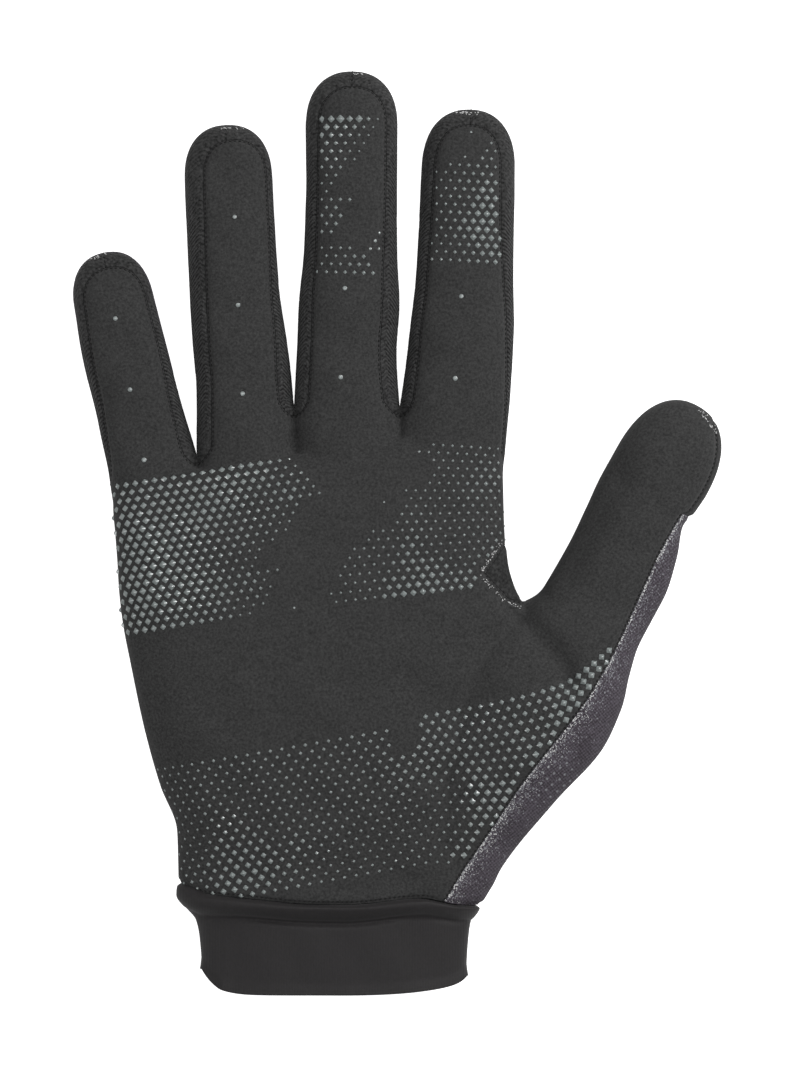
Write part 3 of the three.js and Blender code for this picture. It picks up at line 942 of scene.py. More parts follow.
def stamped(
    template: bpy.types.Object,
    name: str,
    places: Points,
    frames: Points,
    scales: Points,
) -> bpy.types.Object:
    """Copies of one small shape, each at its own place, turn and size, in one mesh.

    Args:
        template: the shape, at the origin, in millimetres along x, y and z. It is deleted.
        name: the new object's name.
        places: where each copy goes.
        frames: each copy's three unit axes as the rows of a matrix.
        scales: each copy's sizes along its axes.

    Returns:
        The object.
    """
    shape = points_of(template)
    faces = [list(face.vertices) for face in template.data.polygons]
    turned = np.einsum("nvk,nkj->nvj", shape[None] * scales[:, None, :], frames)
    points = (turned + places[:, None, :]).reshape(-1, 3) * MM
    count = len(shape)
    polygons = [[v + i * count for v in face] for i in range(len(places)) for face in faces]
    mesh = bpy.data.meshes.new(name)
    mesh.from_pydata(points.tolist(), [], polygons)
    drop(template)
    obj = bpy.data.objects.new(name, mesh)
    bpy.context.collection.objects.link(obj)
    return obj


class Skin:
    """The glove's outer surface, on which stitches, dots and flecks are laid."""

    def __init__(self, obj: bpy.types.Object) -> None:
        """Keeps a search tree of an object's faces."""
        polygons = [tuple(face.vertices) for face in obj.data.polygons]
        self.tree = BVHTree.FromPolygons(points_of(obj).tolist(), polygons)

    def land(self, plan: Points) -> tuple[Points, Points, Points]:
        """Drops plan points onto the surface from above.

        Args:
            plan: plan points, one to a row.

        Returns:
            Which of them landed, their places and the surface normals there.
        """
        found, places, normals = [], [], []
        for x, y in plan:
            spot, normal, _, _ = self.tree.ray_cast(Vector((x, y, 90)), Vector((0, 0, -1)))
            found.append(spot is not None)
            if spot is not None:
                places.append(spot[:])
                normals.append(normal[:])
        return np.array(found, dtype=bool), np.array(places), np.array(normals)


def frames_on(normals: Points, ways: Points) -> Points:
    """Unit axes along a plan direction, across it and out of the surface, for each place.

    Args:
        normals: the surface normals.
        ways: the plan directions.

    Returns:
        The three axes of each place, as a matrix's rows.
    """
    way = np.column_stack([ways, np.zeros(len(ways))])
    along = way - np.sum(way * normals, axis=1)[:, None] * normals
    along /= np.linalg.norm(along, axis=1)[:, None]
    return np.stack([along, np.cross(normals, along), normals], axis=1)


@dataclass
class Form:
    """The hand's outer form with its folds and its seams' valleys, and its hollow.

    folds holds each fold's line, width and depth.
    """

    seams: SeamPlan
    voxel: float = 0.62
    hollow_voxel: float = 1.5
    valley_depth: float = 0.45
    valley_width: float = 0.65
    puff: float = 0.12
    side_valley: float = 0.3
    ease: float = 0.2
    wave: float = 0.2
    knit_bulge: float = 0.9
    lump_at: tuple[float, float] = (23.5, -92.0)
    lump_reach: float = 3.0
    puff_at: float = 2.4
    puff_width: float = 1.1
    tip_share: float = 0.6
    side_width: float = 0.7
    wrist_share: float = 1.4
    wrist_spread: float = 1.2
    wave_seed: int = 7
    wave_count: int = 7
    wave_span: float = 14.0
    wave_spread: float = 4.0
    wave_stretch: float = 1.7
    low: float = -20.0
    high: float = 60.0
    folds: tuple = (
        (((31.0, -14.0), (32.5, -21.0), (37.0, -27.0), (43.0, -33.0), (45.5, -38.0)), 3.6, 2.6),
        (((24.0, -27.0), (29.0, -24.0), (32.0, -20.0)), 3.2, 0.6),
        (((58.0, 14.0), (50.0, 0.0), (44.0, -11.0)), 3.4, 1.1),
        (((-66.0, -36.0), (-64.0, -60.0), (-57.0, -84.0)), 4.5, 0.6),
    )

    def _united(self, inset: float, voxel: float, sides: int) -> bpy.types.Object:
        """The trunk and the digits as one closed body, set in by a wall.

        Args:
            inset: how far it is set in.
            voxel: its mesh size.
            sides: how many sides a digit has.

        Returns:
            The body.
        """
        lofts = [lofted("trunk", trunk_sections(inset), 2 * sides)]
        lofts += [lofted(digit.name, digit.sections(inset), sides) for digit in (*FINGERS, THUMB)]
        body = joined(lofts, "hand_form")
        apply_modifier(body, "REMESH", mode="VOXEL", voxel_size=voxel * MM)
        for finger, following in zip(FINGERS, FINGERS[1:]):
            carve(body, prism(self.seams.web(finger, following), self.low, self.high), "DIFFERENCE")
        return body

    def outer(self) -> bpy.types.Object:
        """Makes the outer form.

        Returns:
            The outer form.
        """
        body = self._united(-self.ease, self.voxel, 56)
        apply_modifier(body, "SMOOTH", factor=0.5, iterations=12)
        self._press_seams(body)
        self._fold(body)
        points = points_of(body)
        points[:, 2] = np.maximum(points[:, 2], 0)
        put_points(body, points)
        return body

    def hollow(self) -> bpy.types.Object:
        """Makes the hollow, a wall inside the outer form.

        Returns:
            The hollow's body.
        """
        body = self._united(SIZES.wall + 0.35, self.hollow_voxel, 28)
        apply_modifier(body, "SMOOTH", factor=0.5, iterations=2)
        self._fold(body)
        points = points_of(body)
        points[:, 2] = np.maximum(points[:, 2], SIZES.wall)
        put_points(body, points)
        return body

    def _press_seams(self, body: bpy.types.Object) -> None:
        """Draws the surface in along the seams and puffs it up beside them.

        Args:
            body: the outer form.
        """
        points, normals = points_of(body), normals_of(body)
        plan, height = points[:, :2], points[:, 2]
        above = 1 / (1 + np.exp(-(height - SIZES.back_seam - 1) * 1.5))
        outline = self.seams.palm()
        closed = np.concatenate([outline, outline[:1]])
        gap = distance_to(plan, closed[1:-2])
        press = self._valley(gap) * above
        for line in self.seams.tip_seams():
            press = np.minimum(press, self.tip_share * self._valley(distance_to(plan, line)) * above)
        beside = inside(plan, outline)
        for zone in self.seams.strips().values():
            beside |= inside(plan, zone)
        side = -self.side_valley * np.exp(-(((height - SIZES.back_seam) / self.side_width) ** 2))
        press = np.minimum(press, np.where(beside, side, 0))
        x = np.linspace(-70, 40, 80)
        wrist = np.column_stack([x, wrist_seam(x)])
        beside_wrist = distance_to(plan, wrist) / self.wrist_spread
        press = np.minimum(press, self.wrist_share * self._valley(beside_wrist))
        patch = self.seams.patch()
        edge = np.abs((plan - patch[0]) @ THUMB.along)
        on_back = ~inside(plan, outline) & (distance_to(plan, np.array([patch[0], patch[3]])) < 3)
        press = np.minimum(press, np.where(on_back, self._valley(edge), 0))
        put_points(body, points + normals * press[:, None])

    def _valley(self, distance: Points) -> Points:
        """How far the surface moves out at a distance from a seam."""
        dip = -self.valley_depth * np.exp(-((distance / self.valley_width) ** 2))
        return dip + self.puff * np.exp(-(((distance - self.puff_at) / self.puff_width) ** 2))

    def _fold(self, body: bpy.types.Object) -> None:
        """Adds the folds that the photograph shows, and the cloth's slight waves.

        Args:
            body: the form or its hollow.
        """
        points, normals = points_of(body), normals_of(body)
        plan = points[:, :2]
        up = np.clip(normals[:, 2], 0, 1)
        move = np.zeros(len(points))
        for line, width, depth in self.folds:
            gap = distance_to(plan, np.array(line))
            move -= depth * up * np.exp(-((gap / width) ** 2))
        dice = np.random.default_rng(self.wave_seed)
        for turn, phase_x, phase_y, size in dice.uniform(0, 2 * math.pi, (self.wave_count, 4)):
            span = self.wave_span + self.wave_spread * size
            along = points[:, 0] * math.cos(turn) + points[:, 1] * math.sin(turn)
            across = points[:, 1] * math.cos(turn) - points[:, 0] * math.sin(turn)
            ahead = np.sin(along * 2 * math.pi / span + phase_x)
            aside = np.sin(across * 2 * math.pi / (self.wave_stretch * span) + phase_y)
            move += self.wave * (ahead * aside) * up
        lump = np.hypot(*(plan - self.lump_at).T) / self.lump_reach
        move += self.knit_bulge * np.exp(-(lump**2)) * (1 - up)
        put_points(body, points + normals * move[:, None])


@dataclass
class Panels:
    """The sewn panels of the hand, cut from its shell along the seams."""

    seams: SeamPlan
    form: Form
    smooth_angle: float = 50.0
    rib_slope: float = 1.0
    rib_turn: float = 1.9
    rib_least: float = 0.3
    rib_fade: float = 15.0
    rib_foot: float = 9.0
    rib_by_seam: float = 2.8
    fall_share: float = 0.8
    low: float = -20.0
    high: float = 60.0
    reach: float = 180.0
    beyond: float = 300.0

    def build(self) -> tuple[dict[str, bpy.types.Object], Skin]:
        """Cuts the panels.

        Returns:
            The panels by CAD node, and the outer surface.
        """
        shell = self.form.outer()
        skin = Skin(shell)
        carve(shell, self.form.hollow(), "DIFFERENCE")
        gap = SIZES.seam_gap / 2
        x = np.linspace(-self.reach, self.reach, 240)
        far = [[self.reach, self.beyond], [-self.reach, self.beyond]]
        above = np.concatenate([np.column_stack([x, wrist_seam(x) + gap]), far])
        carve(shell, prism(above, self.low, self.high), "INTERSECT")
        outline = self.seams.palm()
        low = SIZES.back_seam
        panels = {"palm_panel": duplicate(shell, "palm_panel")}
        carve(panels["palm_panel"], prism(grown(outline, -gap), low + gap, self.high), "INTERSECT")
        carve(shell, prism(grown(outline, gap), low - gap, self.high), "DIFFERENCE")
        back = duplicate(shell, "back_panel")
        for name, zone in self.seams.strips().items():
            panels[name] = duplicate(shell, name)
            carve(panels[name], prism(grown(zone, -gap), low + gap, self.high), "INTERSECT")
            carve(back, prism(grown(zone, gap), low - gap, self.high), "DIFFERENCE")
        patch = self.seams.patch()
        panels["thumb_tip_patch"] = duplicate(shell, "thumb_tip_patch")
        carve(panels["thumb_tip_patch"], prism(grown(patch, -gap), self.low, self.high), "INTERSECT")
        panels["back_panel"] = carve(back, prism(grown(patch, gap), self.low, self.high), "DIFFERENCE")
        drop(shell)
        for name, panel in panels.items():
            solo(panel)
            bpy.ops.object.shade_smooth_by_angle(angle=math.radians(self.smooth_angle))
            self._chalk(panel)
            log.info("%s: %d faces", name, len(panel.data.polygons))
        return panels, skin

    def _chalk(self, panel: bpy.types.Object) -> None:
        """Marks a panel with the lengths that its pattern follows: its ribs' rise and its seam's distance.

        Args:
            panel: the panel.
        """
        points = points_of(panel)
        gap, along, off = foot_on(points[:, :2], self.seams.finger_seams())
        fall = np.clip(SIZES.palm_thickness * 0.62 - points[:, 2], 0, 20)
        outward = np.hypot(gap, self.fall_share * fall)
        turn = np.abs(outward - self.rib_turn)
        put_attribute(panel, "rise", along - np.sign(off[:, 0]) * self.rib_slope * turn)
        by_seam = np.clip(outward / self.rib_by_seam, self.rib_least, 1)
        put_attribute(panel, "ribbed", by_seam * self._ribs_shown(points[:, :2]))
        put_attribute(panel, "from_seam", foot_on(points[:, :2], self.seams.thumb()[30:])[0])

    def _ribs_shown(self, plan: Points) -> Points:
        """How strongly the ribs show, which is least at the fingertips and in the crotches.

        Args:
            plan: plan points, one to a row.

        Returns:
            The ribs' strength at each point, up to 1.
        """
        nearest = np.argmin([distance_to(plan, self.seams.axis(finger)) for finger in FINGERS], axis=0)
        room = [
            np.minimum(
                (finger.on(finger.dome_start, 0) - plan) @ finger.along,
                (plan - finger.on(0, 0)) @ finger.along - self.rib_foot,
            )
            for finger in FINGERS
        ]
        return np.clip(np.array(room)[nearest, np.arange(len(plan))] / self.rib_fade, self.rib_least, 1)


@dataclass
class Cuff:
    """The short stretch cuff: a tube with a roll under the wrist seam and a turned hem.

    waves holds each slight wave's size and its lengths across and down.
    """

    around: int = 260
    along: int = 96
    roll: float = 1.3
    roll_lengths: Table = Table("x length", ((-60, 6.4), (-50, 5.6), (-40, 4.8), (0, 4.4), (20, 4)))
    tuck: float = 0.9
    tuck_width: float = 0.5
    crease: float = 0.8
    crease_width: float = 0.8
    crease_at: float = -22.0
    crease_reach: float = 22.0
    ridge: float = 0.6
    ridge_at: float = -45.5
    ridge_width: float = 1.6
    hem: float = 0.5
    hem_length: float = 3.0
    waves: tuple = ((0.12, 5.5, 9), (0.08, 2.7, -4))

    def build(self) -> bpy.types.Object:
        """Shapes a ring into the cuff.

        Returns:
            The cuff.
        """
        bpy.ops.mesh.primitive_torus_add(
            major_segments=self.around, minor_segments=self.along, major_radius=1, minor_radius=0.25
        )
        cuff = added("cuff")
        ring = points_of(cuff) * MM
        turn = np.arctan2(ring[:, 1], ring[:, 0])
        bend = np.arctan2(ring[:, 2], np.hypot(ring[:, 0], ring[:, 1]) - 1) / (2 * math.pi)
        step = np.rint((0.5 - bend) * self.along).astype(int) % self.along
        share, out, rim = self._profile()
        share, out, rim = share[step], out[step], rim[step]
        y = np.full(len(ring), SIZES.wrist[1] - SIZES.cuff_length / 2)
        for _ in range(3):
            plan, height, wide = self._on_section(turn, y, 0)
            start, end = wrist_seam(plan) - 0.1, mouth_edge(plan)
            y = start + (end - start) * share
        below = start - y
        up = np.clip(np.sin(turn), 0, 1) ** 0.5
        outer = out > -0.5 * SIZES.wall
        out = out + np.where(outer, self._relief(plan, below, start - end, up), 0)
        x, z, _ = self._on_section(turn, y, out)
        put_points(cuff, np.column_stack([x, y - rim, np.maximum(z, 0)]))
        bpy.ops.object.mode_set(mode="EDIT")
        bpy.ops.mesh.select_all(action="SELECT")
        bpy.ops.mesh.normals_make_consistent(inside=False)
        bpy.ops.object.mode_set(mode="OBJECT")
        bpy.ops.object.shade_smooth_by_angle(angle=math.radians(60))
        log.info("cuff: %d faces", len(cuff.data.polygons))
        return cuff

    def _profile(self) -> tuple[Points, Points, Points]:
        """The wall's outline: shares of the way down, distances out and distances past the hem's centre.

        Returns:
            The three rows of numbers, round the wall.
        """
        outer, bend = int(self.along * 0.6), 12
        inner = self.along - outer - bend
        half = SIZES.wall / 2
        angle = np.linspace(math.pi / 2, -math.pi / 2, bend + 2)[1:-1]
        ease = np.linspace(0, 1, outer)
        down = 0.55 * ease + 0.45 * ease**2
        share = np.concatenate([down, np.ones(bend), np.linspace(1, 0, inner)])
        out = np.concatenate([np.zeros(outer), half * np.sin(angle) - half, np.full(inner, -SIZES.wall)])
        rim = np.concatenate([np.zeros(outer), half * np.cos(angle) - half, np.zeros(inner)])
        return share, out, rim

    def _on_section(self, turn: Points, y: Points, out: float | Points) -> tuple[Points, Points, Points]:
        """Plan x, height and half width of points round the wrist.

        Args:
            turn: the angle round the section, from the thumb side over the palm.
            y: where along the hand the section is.
            out: how far the point is outside the section.

        Returns:
            The x values, the heights and the section's half widths.
        """
        at = y - SIZES.wrist[1]
        left = TRUNK.read("left", at) * SIZES.half_palm
        right = TRUNK.read("right", at) * SIZES.half_palm
        top, power = TRUNK.read("top", at) * SIZES.palm_thickness, TRUNK.read("power", at)
        half, rise = (right - left) / 2 + out, (top + SIZES.rest_flat) / 2 + out
        x = SIZES.wrist[0] + (left + right) / 2 + half * signed_power(np.cos(turn), 2 / power)
        z = (top - SIZES.rest_flat) / 2 + rise * signed_power(np.sin(turn), 2 / power)
        return x, z, half

    def _relief(self, x: Points, below: Points, length: Points, up: Points) -> Points:
        """The roll, crease, side fold and hem as distances out of the plain tube.

        Args:
            x: the points' x values.
            below: how far below the wrist seam they are.
            length: the cuff's length there.
            up: how far they face up, up to 1.

        Returns:
            The distances.
        """
        half = self.roll_lengths.read("length", x) / 2
        bulge = np.clip(1 - ((below - half) / half) ** 2, 0, 1) ** 0.6
        tuck = -self.tuck * np.exp(-((below / self.tuck_width) ** 2))
        middle = np.exp(-(((x - self.crease_at) / self.crease_reach) ** 4))
        under = np.exp(-(((below - 2 * half - 0.5) / self.crease_width) ** 2))
        crease = -self.crease * (0.35 + 0.65 * middle) * under
        ridge = self.ridge * np.exp(-(((x - self.ridge_at) / self.ridge_width) ** 2))
        ridge = ridge * np.clip((below - 5) / 4, 0, 1)
        hem = self.hem * np.clip(1 - (length - below) / self.hem_length, 0, 1)
        soft = sum(size * np.sin(x / across + below / down) for size, across, down in self.waves)
        return self.roll * bulge * (0.55 + 0.45 * up) + tuck + (crease + ridge) * up + hem + soft * up


@dataclass(frozen=True)
class GripBlock:
    """A field of raised dots: staggered rows between a first and a last row, inside an outline.

    sizes holds places and dot sizes as x, y and size.
    """

    name: str
    outline: tuple
    first: tuple
    last: tuple
    rows: int
    sizes: tuple
    pitches: tuple = ((0, 2.5),)
    lean: float = 0.3
    phase: float = 0.0
    margin: float = 0.6

    def dots(self) -> tuple[Points, Points, Points]:
        """Lays the dots out.

        Returns:
            Their plan points, their sizes and their rows' directions.
        """
        first, last = np.array(self.first), np.array(self.last)
        pitches = np.array(self.pitches)
        start = first[0, 0] + self.phase
        base = np.array([*self._steps(start, -90, pitches)[:0:-1], *self._steps(start, 74, pitches)])
        found, ways = [], []
        for k in range(self.rows):
            share = k / (self.rows - 1)
            x = base + self.lean * k
            if k % 2:
                x = x[:-1] + np.diff(x) / 2
            level = [
                (1 - share) * self._line(first, v) + share * self._line(last, v)
                for v in (x - 0.5, x, x + 0.5)
            ]
            found.append(np.column_stack([x, level[1]]))
            ways.append(np.column_stack([np.ones(len(x)), level[2] - level[0]]))
        plan, way = np.concatenate(found), np.concatenate(ways)
        keep = inside(plan, grown(np.array(self.outline, dtype=float), self.margin))
        plan, way = plan[keep], way[keep]
        table = np.array(self.sizes)
        away = np.hypot(plan[:, None, 0] - table[:, 0], plan[:, None, 1] - table[:, 1])
        weight = 1 / (away + 0.3) ** 4
        size = weight @ table[:, 2] / weight.sum(axis=1)
        return plan, size, way / np.linalg.norm(way, axis=1)[:, None]

    @staticmethod
    def _steps(start: float, reach: float, pitches: Points) -> list[float]:
        """Places from a start as far as a reach, each a local pitch from the one before.

        Args:
            start: the first place.
            reach: how far to go, negative to the left.
            pitches: pitches at some places.

        Returns:
            The places.
        """
        places = [start]
        while abs(places[-1] - start) < abs(reach):
            pitch = float(np.interp(places[-1], pitches[:, 0], pitches[:, 1]))
            places.append(places[-1] + math.copysign(pitch, reach))
        return places

    @staticmethod
    def _line(line: Points, x: Points) -> Points:
        """The height of a row at each x, carried on straight past its two ends.

        Args:
            line: the row's points.
            x: the x values.

        Returns:
            The heights.
        """
        inner = np.interp(x, line[:, 0], line[:, 1])
        start = (line[1] - line[0])[1] / (line[1] - line[0])[0]
        end = (line[-1] - line[-2])[1] / (line[-1] - line[-2])[0]
        return inner + np.minimum(x - line[0, 0], 0) * start + np.maximum(x - line[-1, 0], 0) * end


GRIP_BLOCKS = (
    GripBlock(
        name="knuckle",
        outline=(
            (-90, 8.3), (-74.6, 11.5), (-55.9, 15.6), (-52.1, 14.6), (-50.1, 16.7), (-27.9, 20.2),
            (-24.9, 15.5), (-20.3, 10), (-26.6, 8.2), (-27.1, 6), (-30.2, -0.6), (-33.7, -2.9),
            (-38, -9.2), (-30.7, -9), (-30.7, -10.9), (-34.4, -11.7), (-33.3, -15.2), (-35.5, -19.5),
            (-39.2, -22.1), (-90, -30.4),
        ),
        first=((-73.6, 12.1), (-28.6, 19.3)),
        last=((-71.1, -26.3), (-40.1, -21.4)),
        rows=20,
        lean=0.33,
        pitches=((-82, 1.1), (-78, 1.7), (-74, 2.3), (-70, 2.53)),
        sizes=(
            (-72, 12, 1.4), (-46, 16.5, 1.5), (-36, 18, 1.4), (-31, 19, 1), (-28.5, 19.5, 0.6),
            (-28, 9, 1.3), (-24, 9.5, 0.8), (-21, 9.5, 0.6), (-71, -1, 1.6), (-53, 2, 1.5),
            (-40, 3.5, 1.1), (-33, 6, 1), (-28, 7, 0.6), (-30, 2.5, 0.6), (-35.5, 1.5, 0.9),
            (-41.5, -1, 1.1), (-34.5, -2.5, 0.6), (-47, -6.5, 1.1), (-37.5, -7, 0.6), (-63, -8, 1.6),
            (-53, -13, 1.5), (-47, -12, 1.3), (-44, -9.5, 0.8), (-38.5, -9, 0.55), (-39, -11, 1.1),
            (-31.5, -10, 0.6), (-37, -15, 0.9), (-34, -14.5, 0.5), (-58, -17, 1.5), (-48, -18.5, 1.2),
            (-36, -19, 0.6), (-68, -18, 1.6), (-53, -23, 1.2), (-45.5, -22, 0.9), (-40, -21.5, 0.5),
            (-66.5, -25, 1.5), (-60.5, -24.5, 1.3), (-45, 9, 1.5),
        ),
    ),
    GripBlock(
        name="index_root",
        outline=(
            (8.8, 23.9), (27.7, 22.7), (32.8, 19.6), (28.5, -2.6), (26.2, -4.1), (22.2, -7.7),
            (19.9, -10.7), (21.2, -14.1), (19.4, -15.2), (-4, -17.8), (-17.7, -19.5), (-18.7, -16.3),
            (-15.4, -13.7), (-14.6, -10.2), (-13.4, -5.1), (-9.6, -3.1), (-8.6, -0.4), (0, 2.2),
            (1.3, 6.5), (1.8, 11.6), (8.3, 12.5), (9.3, 15), (10.3, 16.6), (8.8, 19.6), (5, 20.6),
            (5, 21.7),
        ),
        first=((9.6, 23.1), (26.6, 22)),
        last=((-16.3, -18.2), (19.1, -14)),
        rows=20,
        pitches=((0, 2.53), (20, 2.45), (26, 2.2)),
        lean=0.05,
        margin=0.3,
        sizes=(
            (9.5, 23, 0.6), (27, 22, 0.6), (17.5, 17, 0.6), (10.5, 15, 0.6), (24, 14, 1), (25, 12, 1),
            (22, 14, 0.9), (26, 10, 0.7), (12.5, 9.5, 0.6), (25, 6.5, 0.65), (2.5, 11, 0.55),
            (12.5, 3, 0.6), (25, 2.5, 0.65), (-7.5, -0.5, 0.6), (0, 0, 0.6), (12.5, -1, 0.6),
            (23.5, -1.5, 0.7), (2.5, -3.5, 1.15), (5, -3.5, 1.2), (7.5, -3, 0.7), (0, -4, 0.6),
            (12.5, -3, 0.6), (20, -3, 0.65), (25.5, -3.5, 0.9), (6.5, -5.5, 1), (9, -5, 0.6),
            (-12.5, -5.5, 0.6), (-2.5, -6.5, 0.6), (17.5, -5, 0.6), (23.5, -5.5, 0.9), (0.5, -8, 1.2),
            (5.5, -7.5, 1.25), (10.5, -7, 1.1), (13, -7, 0.6), (18, -7, 0.6), (12, -9, 1.2),
            (14.5, -9, 0.7), (19.5, -9, 0.8), (-2.5, -8.5, 0.6), (-10, -9, 0.6), (-0.5, -10, 0.7),
            (3.5, -11.5, 1.1), (8.5, -11, 1.4), (18.5, -10.5, 1.1), (-1.5, -12.5, 1.2),
            (-5.5, -10.5, 0.6), (5, -13.5, 1.4), (15, -12.5, 1.2), (-2.5, -14.5, 1.2), (-5, -14.5, 0.7),
            (-10, -15, 0.6), (-16, -18.5, 0.55), (-6, -17, 0.6), (-4, -16.5, 1.1), (1.5, -16, 1.4),
            (9, -15, 1.4), (14, -14.5, 1.1), (19, -14, 1.3),
        ),
    ),
    GripBlock(
        name="heel",
        outline=(
            (-85, -66.5), (-62.5, -61.2), (-2.9, -51.4), (-1.8, -56.8), (-2.9, -59.2), (1.8, -59.2),
            (4.2, -57.6), (6.6, -53.7), (6.1, -47.4), (30.9, -42), (43, -39.2), (48.8, -35.3),
            (56.7, -28.9), (58.8, -31), (52.6, -38.9), (42, -52.1), (34.1, -61.3), (26.2, -73.2),
            (19.6, -85.1), (18, -86.5), (15.3, -85.6), (-34.5, -95.6), (-40.4, -95.6), (-52, -94),
            (-85, -88),
        ),
        first=(
            (-64, -60.6), (-3.2, -50.1), (7.5, -48.2), (24.5, -45.1), (35.3, -42.5), (43.2, -40.1),
            (47.7, -37.5), (52, -34), (56.2, -30.4),
        ),
        last=((-64, -99.6), (9, -86.4), (25, -87), (43, -88), (56, -82)),
        rows=21,
        phase=71.5,
        pitches=(
            (-64, 1.6), (-58, 2.3), (-50, 2.9), (-30, 3.05), (0, 3.05), (12, 2.87), (34, 2.7), (42, 2.3),
            (50, 2),
        ),
        sizes=(
            (-62, -63, 0.6), (-40, -58, 0.75), (-3, -52, 0.8), (-58, -72, 0.7), (-36, -64, 0.7),
            (-16, -62, 0.75), (2.5, -63.5, 1), (-42, -70, 0.65), (-23, -70, 0.7), (-5, -70, 0.75),
            (-47, -76, 0.9), (-42, -76, 1), (-52, -78.5, 0.6), (-56, -80, 0.6), (-56, -88, 0.65),
            (-37, -74.5, 0.7), (-38, -79, 1.1), (-34.5, -82, 1.2), (-32.5, -84, 1.2), (-27, -83, 1.2),
            (-30, -83, 0.8), (-32, -79.5, 0.7), (-23, -77, 0.75), (-8, -77, 0.7), (-52, -83, 0.6),
            (-46, -83, 1.2), (-40, -84, 1.3), (-34, -88, 1.3), (-29, -88, 1.2), (-25.5, -86.5, 0.75),
            (-16, -85, 0.65), (-4, -83, 0.6), (8, -80, 0.6), (-48, -88, 1), (-42, -89, 1.4),
            (-36, -89.5, 1.5), (-33, -92, 1.3), (-30, -91, 0.8), (-53, -92, 0.8), (-44, -93, 1.4),
            (-37, -94, 1.2), (-33, -94, 0.8), (-20, -91, 0.7), (-6, -88, 0.65), (7.5, -48, 1.05),
            (24.5, -45, 1.05), (36, -42.5, 1.1), (41, -41, 1.4), (48, -37.5, 1.6), (56, -30.5, 1.5),
            (46, -42, 1.6), (38.5, -46, 1.1), (43, -47, 1.6), (38, -50, 1.1), (41, -51, 1.5),
            (36.5, -54, 1.15), (38, -57, 1.5), (35, -61, 1.4), (32, -60, 1.1), (18, -51, 1.05),
            (10, -57, 1.1), (24, -57, 1.05), (17, -60, 1.15), (8, -63, 1.1), (27, -63.5, 1),
            (20.5, -65, 1.4), (15, -66, 0.65), (7, -68, 0.6), (28, -67.5, 1.6), (24, -69, 1.5),
            (20.5, -71, 1.4), (17, -71.5, 0.9), (14, -73, 0.65), (22, -74, 1.4), (20, -77, 1.2),
            (17.5, -76.5, 0.7), (21, -80, 1.2), (17, -81, 1), (14, -81.5, 0.6), (16.5, -84, 1.4),
            (12, -85.5, 0.6),
        ),
    ),
    GripBlock(
        name="middle_tip",
        outline=(
            (-22.4, 110), (-4.1, 109.7), (-5.8, 106.2), (-7.2, 104.2), (-8.6, 102.1), (-9.7, 99.8),
            (-10.6, 97.6), (-15.1, 95.9), (-16.5, 93.6), (-17.9, 91.5), (-18.9, 89.3), (-11.7, 88.7),
            (-12, 86.9), (-15.5, 85.5), (-15.1, 81.1), (-18.2, 79), (-21, 77.1), (-21, 75.9),
            (-13.4, 76.1), (-9.3, 73.1), (-5.1, 69.2), (-5.1, 67.6), (-21.6, 67.6), (-21.6, 79),
        ),
        first=((-19.8, 108.8), (-5, 108.8)),
        last=((-20.6, 68.6), (-6.2, 68.2)),
        rows=20,
        pitches=((0, 2.46),),
        lean=0,
        sizes=(
            (-20, 109, 1.6), (-15, 109, 1.8), (-10, 109, 1.6), (-7.5, 108.5, 0.9), (-5, 108, 0.5),
            (-18.5, 107, 1.5), (-14, 107, 1.1), (-8.5, 106.5, 0.7), (-6, 106.5, 0.5), (-20, 105, 1.4),
            (-15, 105, 0.95), (-7.5, 104.5, 0.5), (-19, 102.5, 1.1), (-14, 102.5, 0.8), (-9, 102, 0.5),
            (-20, 100.5, 1), (-10, 100, 0.5), (-19, 98.5, 1), (-11.5, 98, 0.6), (-20, 96, 0.8),
            (-19, 94, 0.7), (-21, 92, 0.6), (-21, 88, 0.65), (-13.5, 87.5, 0.8), (-16, 83.5, 0.9),
            (-21, 79.5, 0.8), (-21, 75, 0.6), (-14, 75, 0.7), (-10, 72, 0.9), (-19.5, 71, 0.7),
            (-20.5, 68.5, 0.75), (-6, 68, 0.9),
        ),
    ),
    GripBlock(
        name="index_tip",
        outline=(
            (13.2, 97.6), (22.5, 97.6), (23, 99.3), (23.5, 101.1), (24.5, 103.1), (26.3, 101.1),
            (27, 97.5), (27.9, 94.9), (28.1, 70.6), (8.7, 70.6), (7.8, 71.1), (8.4, 79.7), (8.9, 88.7),
            (9.2, 93.5), (11.8, 95.2),
        ),
        first=((14, 103.1), (26.3, 102.4)),
        last=((9.7, 71.9), (26.6, 71.1)),
        rows=16,
        pitches=((0, 2.46), (22, 2.4), (27, 2)),
        lean=0,
        phase=1.23,
        sizes=(
            (14, 97, 0.65), (26, 96, 0.7), (25, 102.5, 0.6), (13, 95, 0.65), (20, 94.5, 0.8),
            (27, 94, 0.7), (10, 93, 0.6), (21, 92, 0.9), (24, 92, 1.2), (10.5, 91, 0.6), (20, 90.5, 1),
            (22.5, 90, 1.5), (26.5, 90, 1.2), (18.5, 88, 0.8), (21, 88, 1.3), (25, 87.5, 1.4),
            (12, 86.5, 0.7), (17, 86, 0.8), (22, 85.5, 1.5), (18, 83.5, 0.9), (20.5, 84, 1.4),
            (25, 83.5, 1.5), (9.5, 82.5, 0.7), (14.5, 82, 0.8), (17, 82, 1.3), (24, 81.5, 1.6),
            (8.5, 80.5, 0.6), (13, 80, 0.8), (18, 80, 1.3), (21, 79.5, 1.6), (27, 79.5, 1.2),
            (11.5, 78, 0.7), (16.5, 78, 1), (21, 77.5, 1.5), (26, 77.5, 1.4), (12.5, 76, 0.6),
            (17.5, 75.5, 0.8), (22.5, 75.5, 1.3), (9, 74, 0.6), (18.5, 73.5, 0.9), (25.5, 73, 1.4),
